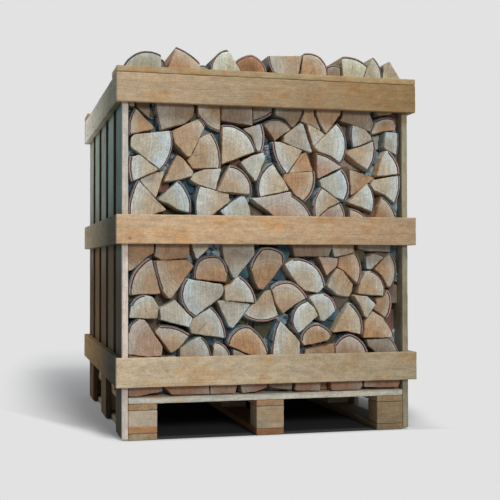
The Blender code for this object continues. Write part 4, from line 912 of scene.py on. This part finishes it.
class Log:
    """A split log: its outline and bark, its sawn end, and where its wood grew in the trunk."""

    def __init__(self, tone, corners, step, seeds, room):
        draw = np.random.default_rng(seeds)
        self.seeds, self.room = seeds, room
        outline, self.bark = fine_outline(corners, step)
        self.outline = (np.roll(outline, 1, 0) + 6 * outline + np.roll(outline, -1, 0)) / 8
        self.normals = outward_normals(self.outline)
        girth = np.linalg.norm(np.roll(self.outline, -1, 0) - self.outline, axis=1)
        self.run = np.concatenate([[0], girth.cumsum()])
        self.rim_ring = self.ring(0.0)
        self.centre = middle_of(self.rim_ring)
        self.pith, self.trunk = find_pith(self.outline, self.bark, draw)
        self.lean = draw.normal(0, 0.011, 2)
        self.waves = [(draw.normal(0, 1, 2) * turns, draw.uniform(0, 6.28), rise)
                      for turns, rise in SAW_WAVES]
        self.bark_width = SIZES.bark_width * draw.uniform(0.75, 1.2)
        spin = draw.uniform(-0.2, 0.2)
        self.turned = np.array([[math.cos(spin), -math.sin(spin)], [math.sin(spin), math.cos(spin)]])
        self.shift = draw.uniform(-30, 30, 3)
        self.has_check = draw.random() < 0.16
        check_turn = math.atan2(*(self.centre - self.pith)[::-1]) + draw.uniform(-0.5, 0.5)
        self.check_line = np.array([math.cos(check_turn), math.sin(check_turn)])
        glow = draw.uniform(0.92, 1.08)
        warm = 1 + draw.uniform(-0.05, 0.05) * np.array([1, 0, -1])
        self.heart, self.sap = (np.array(part) * glow * warm for part in TONES[tone])

    def ring(self, depth):
        """The outline at this depth, with its ridges, which drift a little along the log."""
        draw = np.random.default_rng([*self.seeds, 1])
        whole, share = self.run[-1], self.run[:-1] / self.run[-1]
        waves = [(max(1, round(whole / pitch)), rise * SIZES.ridge_height) for pitch, rise in RIDGES]
        dents = swells(draw, share, waves, drift=6 * depth) - 0.4 * sum(rise for _, rise in waves)
        bulge = 0.6 + swells(draw, share, [(1, 0.4), (2, 0.4)], drift=5 * depth)
        grown = 0.0 if self.room is None else SIZES.swelling * min(1, depth / 0.035) ** 0.8
        grown = grown * bulge + SIZES.fullness
        points = self.outline + self.normals * (grown - dents * np.where(self.bark, 0.5, 1.0))[:, None]
        return points if self.room is None else points.clip(*self.room)

    def to_bark(self, points):
        """How far the points are from the bark's outside, counted in widths of its cut edge."""
        if not self.bark.any():
            return np.full(len(points), BARE)
        starts, ends = self.rim_ring[self.bark], np.roll(self.rim_ring, -1, 0)[self.bark]
        return np.minimum(distance_to(points, starts, ends) / self.bark_width, BARE)

    def end_depth(self, points, rim):
        """How far the sawn end lies behind a flat cut, with the gap between bark and wood."""
        away = points - self.centre
        rough = sum(rise * np.sin(away @ turns + phase) for turns, phase, rise in self.waves)
        gap = np.exp(-((rim - 1.12) / 0.2) ** 2) * 0.0016
        return away @ self.lean + rough + (gap + (rim < 1.0) * 0.0007)

    def sawn_end(self, insets, shares_inside):
        """The sawn end's rings from its edge to its centre, how deep they lie and how far from the bark."""
        rays = self.centre - self.rim_ring
        lengths = np.linalg.norm(rays, axis=1)
        facing = np.maximum(-(rays * self.normals).sum(1) / lengths, 0.45)
        shares = [0.8 * np.tanh(inset / (facing * lengths) / 0.8) for inset in insets]
        shares += [shares[-1] + (1 - shares[-1]) * part for part in shares_inside]
        rings = [self.rim_ring + rays * share[:, None] for share in shares]
        rings = [self.rim_ring, *rings, self.centre[None]]
        rims = [self.to_bark(points) for points in rings]
        levels = [self.end_depth(points, rim) for points, rim in zip(rings, rims)]
        top = min(level.min() for level in levels)
        levels = [level - top for level in levels]
        levels[0] = levels[0] + WORN_EDGE
        return rings, levels, rims

    def back_and_side(self, reach, depths, open_back):
        """The rings of the other end and then of the side, from the back to the front, with their depths."""
        back = self.ring(reach)
        centre = middle_of(back)
        rings = [(centre[None], reach)]
        if open_back:
            rings += [(back + (centre - back) * part, reach) for part in (0.75, 0.5, 0.25)]
        rings += [(back - (back - centre) * 0.02, reach)]
        rings += [(self.ring(depth), depth) for depth in reversed(depths)]
        return [(points, np.full(len(points), float(depth))) for points, depth in rings]

    def values(self, points, depth, grain_scale):
        """What the materials read at these points."""
        from_pith = points - self.pith
        local = (points - self.centre) @ self.turned * grain_scale
        across_check = np.array([-self.check_line[1], self.check_line[0]])
        side = from_pith @ across_check if self.has_check else np.ones(len(points))
        return {
            "pith": np.stack([from_pith[:, 0], depth, from_pith[:, 1]], 1),
            "spot": np.stack([local[:, 0], depth, local[:, 1]], 1) + self.shift,
            "check": np.stack([side, from_pith @ self.check_line - 0.006, depth], 1),
            "outwards": np.linalg.norm(from_pith, axis=1) / self.trunk,
            "heart": np.broadcast_to(self.heart, (len(points), 3)),
            "sap": np.broadcast_to(self.sap, (len(points), 3)),
        }


def faces_between(first, second):
    """The corners of the faces between two rings, or between a ring and a lone point in its middle."""
    if len(first) == 1:
        return np.stack([np.broadcast_to(first, second.shape), np.roll(second, -1, 0), second], 1)
    if len(second) == 1:
        return np.stack([first, np.roll(first, -1, 0), np.broadcast_to(second, first.shape)], 1)
    return np.stack([first, np.roll(first, -1, 0), np.roll(second, -1, 0), second], 1)


class Pile:
    """Logs joined into one mesh. Each adds its points, faces, kept values and places on the bake's map."""

    FINISHES = ("end", "side", "bark")

    def __init__(self, name, step, seed):
        self.name, self.step, self.seed = name, step, seed
        self.points, self.faces, self.places, self.boxes = [], [], [], []
        self.kept = {key: [] for key in ("pith", "spot", "check", "rim", "outwards", "heart", "sap")}
        self.count = self.total = 0

    def add(self, tone, corners, start, end, depths, open_back=False, side_scale=0.35, room=None,
            coarse=False):
        """A log from its sawn end at Y start to its other end, with rings round its side at these depths.

        Where room gives the corners of the space for the row, the log swells behind its end to meet its
        neighbours. A coarse log has fewer points, and its grain is drawn smaller. Side_scale is the size of
        its side on the bake's map.
        """
        log = Log(tone, corners, self.step * (2.0 if coarse else 1.0), [self.seed, self.total], room)
        self.total += 1
        direction, reach = math.copysign(1, end - start), abs(end - start)
        depths = [depth for depth in depths if depth < reach - 0.004] + [reach - 0.0015]
        # The rings run from the middle of the other end along the side to the middle of the sawn end.
        shells = log.back_and_side(reach, depths, open_back)
        back, front = len(shells) - len(depths), len(shells)
        rings, levels, rims = log.sawn_end(*(COARSE_END if coarse else FINE_END))
        shells += zip(rings, levels)
        names = []
        for points, depth in shells:
            names.append(np.arange(self.count, self.count + len(points)))
            self.count += len(points)
            self.points.append(np.stack([points[:, 0], start + direction * depth, points[:, 1]], 1))
            for key, values in log.values(points, depth, 2.2 if coarse else 1.0).items():
                self.kept[key].append(values)
        self.kept["rim"] += [np.full(len(points), BARE) for points, _ in shells[:front]] + rims

        # Places on the bake's map: one box for the sawn end, one for the side and one for the other end
        low, high = log.outline.min(0), log.outline.max(0)
        box = len(self.boxes)
        side_tall = side_scale * SIDE_ON_MAP
        self.boxes += [high - low, (side_scale * log.run[-1], side_tall), BACK_SCALE * (high - low)]
        around = side_scale * np.stack([log.run[:-1], log.run[1:], log.run[1:], log.run[:-1]], 1)
        for number, ((far, far_depth), (near, near_depth)) in enumerate(zip(shells, shells[1:])):
            if back <= number + 1 <= front:
                falls = [side_tall * math.sqrt(max(depth[0], 0) / reach) for depth in (far_depth, near_depth)]
                if number + 1 == front:
                    falls[1] = 0.0
                spots = np.stack([around, np.broadcast_to(np.repeat(falls, 2), around.shape)], 2)
                slot, in_box = np.where(log.bark, 2, 1), box + 1
            elif number < front:
                spots = (faces_between(far, near) - low) * BACK_SCALE
                slot, in_box = 0, box + 2
            else:
                spots = faces_between(far, near) - low
                slot, in_box = 2 if tone == "bark" else 0, box
            corners_of = faces_between(names[number], names[number + 1])
            if direction < 0:
                corners_of, spots = corners_of[:, ::-1], spots[:, ::-1]
            self.faces.append((corners_of, slot))
            self.places.append((spots.reshape(-1, 2), in_box))

    def build(self, materials):
        """Packs the boxes side by side on the map and makes the mesh."""
        origins, scale = packed_boxes(np.array(self.boxes))
        places = np.concatenate([(spots + origins[box]) * scale for spots, box in self.places])
        kept = {key: np.concatenate(values) for key, values in self.kept.items()}
        slots = [materials[key] for key in self.FINISHES]
        return mesh_object(self.name, np.concatenate(self.points), self.faces, slots, kept, places)


def packed_boxes(sizes, margin=0.004):
    """Lays boxes on shelves in a square. Returns their corners, and the scale that makes it 1 wide."""
    sizes = sizes + 2 * margin
    order = np.argsort(-sizes[:, 1])
    side = math.sqrt(sizes.prod(1).sum())
    while True:
        origins, x, y, shelf = np.zeros_like(sizes), 0.0, 0.0, 0.0
        for number in order:
            wide, tall = sizes[number]
            if x + wide > side:
                x, y, shelf = 0.0, y + shelf, 0.0
            origins[number] = x + margin, y + margin
            x, shelf = x + wide, max(shelf, tall)
        if y + shelf <= side and sizes[:, 0].max() <= side:
            return origins, 1 / side
        side *= 1.01


# Where the logs lie

def raised(logs, rise):
    """The same logs, moved up by rise centimetres."""
    return [(tone, recess, [(x, z + rise, *arc) for x, z, *arc in corners]) for tone, recess, corners in logs]


def mirrored(logs):
    """The same logs with left and right exchanged."""
    return [(tone, recess, [(-x, z, *arc) for x, z, *arc in corners]) for tone, recess, corners in logs]


def stretched(logs, foot, top, new_top):
    """The same logs, drawn out upwards from foot until top reaches new_top."""
    scale = (new_top - foot) / (top - foot)
    return [(tone, recess, [(x, foot + (z - foot) * scale, *arc) for x, z, *arc in corners])
            for tone, recess, corners in logs]


def middle_x(log):
    """Where a log lies from left to right."""
    return sum(corner[0] for corner in log[2]) / len(log[2])


def halves(logs):
    """The logs on the left and those on the right."""
    return ([log for log in logs if middle_x(log) < 0], [log for log in logs if middle_x(log) >= 0])


# The kindling mostly takes dark tones: painted shade, which makes the gaps it fills read dark.
KINDLING_SHADE_TONES = ("shade", "slate", "maroon", "bark", "moss", "slate", "bark")
FILLER_TONES = ("tan", "brown", "cream", "pink", "grey", "orange", "pale")


def kindling(logs, seed):
    """Thin splits a little way in, wherever the logs leave a wide gap, mostly dark as painted shade."""
    draw = np.random.default_rng(seed)
    step = 0.008
    outlines = [fine_outline(corners, step)[0] for _, _, corners in logs]
    edge = np.concatenate(outlines)
    out = np.concatenate([outward_normals(points) for points in outlines])
    across, up = np.arange(-0.492, 0.4921, step), np.arange(DECK_TOP + 0.006, ROW_TOP - 0.004, step)
    spots = np.stack([part.ravel() for part in np.meshgrid(across, up)], 1)
    room = np.empty(len(spots))
    for number, spot in enumerate(spots):
        away = spot - edge
        nearest = (away**2).sum(1).argmin()
        room[number] = math.copysign(np.linalg.norm(away[nearest]), (away[nearest] * out[nearest]).sum())
    made = []
    while room.max() > GAP_TO_FILL:
        centre, reach = spots[room.argmax()], room.max() + 0.009
        turn = draw.uniform(0, 2 * math.pi)
        angles = turn + np.array([0, 1.3, 2.7, 4.4]) + draw.uniform(-0.25, 0.25, 4)
        ways = np.stack([np.cos(angles), np.sin(angles)], 1)
        corners = centre + reach * draw.uniform(1.0, 1.5, (4, 1)) * ways
        corners = [tuple(corner) for corner in 100 * corners.clip(*ROOM)]
        arc = [0.35] if draw.random() < 0.5 else []
        tone = KINDLING_SHADE_TONES[draw.integers(len(KINDLING_SHADE_TONES))]
        made.append((tone, draw.uniform(3.0, 6.5), [(*corners[0], *arc), *corners[1:]]))
        room[np.linalg.norm(spots - centre, axis=1) < 1.25 * reach] = 0
    return made


def fillers(seed):
    """Thin splits that fill the row behind a cap up to the height of the cap's top."""
    draw = np.random.default_rng(seed)
    top, x, made = 100 * CAP_TOP - 0.1, -48.4, []
    while x < 43.0:
        wide = draw.uniform(6.5, 10.0)
        crown = draw.uniform(0.0, 0.9)
        corners = [(x, top - 2.1), (x + wide - 0.5, top - 2.1), (x + wide - 0.4, top - 0.3 - crown),
                   (x + draw.uniform(0.3, 0.7) * wide, top), (x + 0.1, top - 0.5)]
        made.append((FILLER_TONES[draw.integers(len(FILLER_TONES))], 0.0, corners))
        x += wide
    return made


def end_row_piece(name, node, direction, logs, small, crown, step, seed, materials):
    """Half of a front or rear row, joined into one mesh."""
    pile = Pile(name, step, seed)
    inner_end = direction * (ROW_END + 0.0025)
    for tone, recess, corners in logs:
        pile.add(tone, corners, direction * (FACE - recess / 100), inner_end, SIDE_DEPTHS, room=ROOM)
    for tone, recess, corners in small:
        pile.add(tone, corners, direction * (FACE - recess / 100), inner_end, HIDDEN_DEPTHS, side_scale=0.2,
                 room=ROOM, coarse=True)
    for tone, recess, corners in crown:
        pile.add(tone, corners, direction * (FACE - recess / 100), inner_end, OPEN_DEPTHS, side_scale=0.6)
    for tone, _, corners in [log for log in fillers(5) if (middle_x(log) < 0) == name.endswith("left")]:
        pile.add(tone, corners, direction * (CAP_EDGE - 0.002), inner_end, OPEN_DEPTHS[:12], side_scale=0.6)
    place_piece(pile.build(materials), "birch_row", node)


# One operator for each group of like pieces

def board_run(names, colour_name, slot, weathering, seed):
    """Boards of one kind, which share a material that is named after their slot."""
    material = make_board_wood(slot, getattr(COLOURS, colour_name), weathering)
    for number, node in enumerate(names):
        sawn_board(node, material, slot, seed + number)


class FIREWOOD_OT_pallet(bpy.types.Operator):
    """Saw the pallet's runners, blocks, stringers and deck boards"""
    bl_idname = "firewood.pallet"
    bl_label = "Pallet"

    def execute(self, context):
        sides, places = ("left", "middle", "right"), ("front", "middle", "rear")
        plain = [f"{kind}_{side}" for kind in ("runner", "stringer") for side in ("left", "right")]
        plain += [f"block_{side}_{place}" for side in sides for place in places]
        plain += [f"deck_board_{number}" for number in range(1, 7)]
        board_run(plain, "pallet", "pallet_wood", weathering=0.35, seed=100)
        red = ["runner_middle", "stringer_middle"]
        board_run(red, "heartwood", "heartwood", weathering=0.1, seed=130)
        return {"FINISHED"}


class FIREWOOD_OT_walls(bpy.types.Operator):
    """Saw the upright boards of the left and right walls"""
    bl_idname = "firewood.walls"
    bl_label = "Side Boards"

    def execute(self, context):
        names = [f"side_board_{side}_{number}" for side in ("left", "right") for number in range(1, 6)]
        board_run(names, "side", "side_wood", weathering=0.45, seed=140)
        return {"FINISHED"}


class FIREWOOD_OT_belts(bpy.types.Operator):
    """Saw the boards that run round the crate, and the two caps"""
    bl_idname = "firewood.belts"
    bl_label = "Belts and Caps"

    def execute(self, context):
        names = [f"belt_{side}_{level}" for side in ("front", "rear", "left", "right")
                 for level in ("bottom", "middle", "top")]
        board_run(names, "belt", "belt_wood", weathering=0.12, seed=160)
        board_run(["cap_front", "cap_rear"], "cap", "cap_wood", weathering=0.2, seed=180)
        return {"FINISHED"}


class FIREWOOD_OT_nails(bpy.types.Operator):
    """Drive two nails wherever a side belt crosses an upright board"""
    bl_idname = "firewood.nails"
    bl_label = "Nails"

    def execute(self, context):
        draw = np.random.default_rng(61)
        places = []
        for outer, side in enumerate(("left", "right")):
            out = (2 * outer - 1, 0, 0)
            for level in ("bottom", "middle", "top"):
                belt = np.array(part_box(f"belt_{side}_{level}"))
                face = belt[outer][0]
                for number in range(1, 6):
                    board = np.array(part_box(f"side_board_{side}_{number}"))
                    middle = np.array([face, board[:, 1].mean(), belt[:, 2].mean()])
                    for way in (-1, 1):
                        offset = way * NAIL_OFFSETS + draw.uniform(-0.002, 0.002, 2)
                        places.append((middle + (0, *offset), out))
        place_piece(nail_heads(places), "nail_steel")
        return {"FINISHED"}


class FIREWOOD_OT_rows(bpy.types.Operator):
    """Stack the three rows of split logs"""
    bl_idname = "firewood.rows"
    bl_label = "Rows of Logs"

    def execute(self, context):
        materials = birch_materials()
        whole_width = BOTTOM_COURSE + COURSE_UNDER_CAP
        front = UPPER_WINDOW + LOWER_WINDOW + whole_width
        rear = raised(LOWER_WINDOW, WINDOW_PITCH) + raised(UPPER_WINDOW, -WINDOW_PITCH) + whole_width
        crown = raised(TOP_LOGS, 100 * CAP_TOP + 0.03)
        # The front row's bark is painted bluer and darker, as cool shade in its gaps.
        front_bark_painted_shade = birch_materials("birch_bark_painted_shade")
        sides = ("left", "right")
        for side, logs, small in zip(sides, halves(front), halves(kindling(front, 31))):
            end_row_piece(f"front_row_{side}", "firewood_row_front", -1, logs, small, [], SIZES.front_step,
                          11, front_bark_painted_shade)
        for side, logs, small, above in zip(sides, halves(rear), halves(kindling(rear, 32)), halves(crown)):
            end_row_piece(f"rear_row_{side}", "firewood_row_rear", 1, logs, small, above, SIZES.rear_step,
                          12, materials)
        hidden = UPPER_WINDOW + LOWER_WINDOW + BOTTOM_COURSE
        hidden += stretched(COURSE_UNDER_CAP, foot=119.3, top=123.6, new_top=126.1)
        for name, logs, step, seed, depths, side_scale in (
                ("middle_row", hidden, SIZES.middle_step, 13, HIDDEN_DEPTHS, 0.35),
                ("middle_crown", crown, SIZES.rear_step, 14, OPEN_DEPTHS, 0.6)):
            pile = Pile(name, step, seed)
            for tone, _, corners in mirrored(logs):
                pile.add(tone, corners, -HALF_LOG, HALF_LOG, depths, side_scale=side_scale)
            place_piece(pile.build(materials), "birch_row", "firewood_row_middle")
        return {"FINISHED"}


class FIREWOOD_OT_top_logs(bpy.types.Operator):
    """Lay the loose logs on the front cap"""
    bl_idname = "firewood.top_logs"
    bl_label = "Top Logs"

    def execute(self, context):
        materials = birch_materials()
        for number, (tone, recess, corners) in enumerate(raised(TOP_LOGS, 100 * CAP_TOP + 0.03), 1):
            start = recess / 100 - FACE
            end = min(start + TOP_LOG_LENGTH, -ROW_END)
            pile = Pile(f"top_log_{number:02d}_wood", SIZES.front_step, 20 + number)
            pile.add(tone, corners, start, end, OPEN_DEPTHS, open_back=True, side_scale=1.0)
            slot = "birch_" + NEAR_TONES.get(tone, tone)
            place_piece(pile.build(materials), slot, f"top_log_{number:02d}")
        return {"FINISHED"}


BACKDROP = 0.761  # how bright the backdrop and the far floor are
ROOM_LIGHT = (0.150, 0.180, 0.200)  # the light from all sides, which the camera doesn't see
# Where each light stands, what it points at, how wide it is and its power in watts
LIGHTS = {
    "key_light": ((0.3, -5.0, 2.3), (0, -0.4, 0.6), 1.2, 98),
    "high_light": ((0.34, -2.4, 4.6), (0, 0, 0.4), 1.0, 127),
    "rear_light": ((-2.0, 1.6, 2.2), (-0.4, 0, 0.7), 1.5, 24),
}


def turn_to(lamp, aim):
    """Points a lamp at a place."""
    away = [there - here for there, here in zip(aim, lamp.location)]
    flat = math.hypot(away[0], away[1])
    lamp.rotation_euler = (math.pi / 2 + math.atan2(away[2], flat), 0, math.atan2(-away[0], away[1]))


class FIREWOOD_OT_stage(bpy.types.Operator):
    """Set up the pale floor, the soft lights and the camera"""
    bl_idname = "firewood.stage"
    bl_label = "Stage"

    def execute(self, context):
        scene = context.scene
        scene.view_settings.view_transform = "Standard"
        mesh = bpy.data.meshes.new("floor")
        reach = 60
        corners = [(-reach, -reach, 0), (reach, -reach, 0), (reach, reach, 0), (-reach, reach, 0)]
        mesh.from_pydata(corners, [], [(0, 1, 2, 3)])
        mesh.materials.append(make_grey_paper(BACKDROP))
        floor = bpy.data.objects.new("floor", mesh)
        floor.location.z = -0.0005
        scene.collection.objects.link(floor)

        world = bpy.data.worlds.new("soft_room")
        world.use_nodes = True
        tree = world.node_tree
        shown = tree.nodes["Background"]
        ray = tree.nodes.new("ShaderNodeLightPath")
        tint = tree.nodes.new("ShaderNodeMix")
        tint.data_type = "RGBA"
        tint.inputs[6].default_value = (*ROOM_LIGHT, 1)
        tint.inputs[7].default_value = (BACKDROP, BACKDROP, BACKDROP, 1)
        tree.links.new(ray.outputs["Is Camera Ray"], tint.inputs[0])
        tree.links.new(tint.outputs[2], shown.inputs["Color"])
        scene.world = world

        for name, (place, aim, size, power) in LIGHTS.items():
            light = bpy.data.lights.new(name, "AREA")
            light.shape, light.size, light.energy = "DISK", size, power
            light.color = (0.94, 0.98, 1.02)
            lamp = bpy.data.objects.new(name, light)
            lamp.location = place
            turn_to(lamp, aim)
            scene.collection.objects.link(lamp)

        camera = bpy.data.cameras.new("camera")
        camera.sensor_width, camera.lens = 36.0, 60.77
        camera.shift_x = 0.15
        view = bpy.data.objects.new("camera", camera)
        view.location = (-0.9346, -3.3147, 0.590)
        view.rotation_euler = (math.radians(91.038), 0, math.radians(-11.939))
        scene.collection.objects.link(view)
        scene.camera = view
        return {"FINISHED"}


OPERATORS = (FIREWOOD_OT_pallet, FIREWOOD_OT_walls, FIREWOOD_OT_belts, FIREWOOD_OT_nails, FIREWOOD_OT_rows,
             FIREWOOD_OT_top_logs, FIREWOOD_OT_stage)


class FIREWOOD_PT_panel(bpy.types.Panel):
    """Lists the pieces of the crate"""
    bl_idname = "FIREWOOD_PT_panel"
    bl_label = "Crate of Firewood"
    bl_space_type = "VIEW_3D"
    bl_region_type = "UI"
    bl_category = "Firewood"

    def draw(self, context):
        for operator in OPERATORS:
            self.layout.operator(operator.bl_idname)
        for group in (context.scene.firewood_sizes, context.scene.firewood_colours):
            box = self.layout.box()
            for name in group.__annotations__:
                box.prop(group, name)


CLASSES = (FirewoodSizes, FirewoodColours, *OPERATORS, FIREWOOD_PT_panel)


def register():
    for made in CLASSES:
        bpy.utils.register_class(made)
    bpy.types.Scene.firewood_sizes = bpy.props.PointerProperty(type=FirewoodSizes)
    bpy.types.Scene.firewood_colours = bpy.props.PointerProperty(type=FirewoodColours)


def unregister():
    del bpy.types.Scene.firewood_sizes, bpy.types.Scene.firewood_colours
    for made in reversed(CLASSES):
        bpy.utils.unregister_class(made)


def main():
    global SIZES, COLOURS
    register()
    SIZES, COLOURS = bpy.context.scene.firewood_sizes, bpy.context.scene.firewood_colours
    bpy.ops.firewood.pallet()
    bpy.ops.firewood.walls()
    bpy.ops.firewood.belts()
    bpy.ops.firewood.nails()
    bpy.ops.firewood.rows()
    bpy.ops.firewood.top_logs()
    bpy.ops.firewood.stage()


if __name__ == "__main__":
    main()
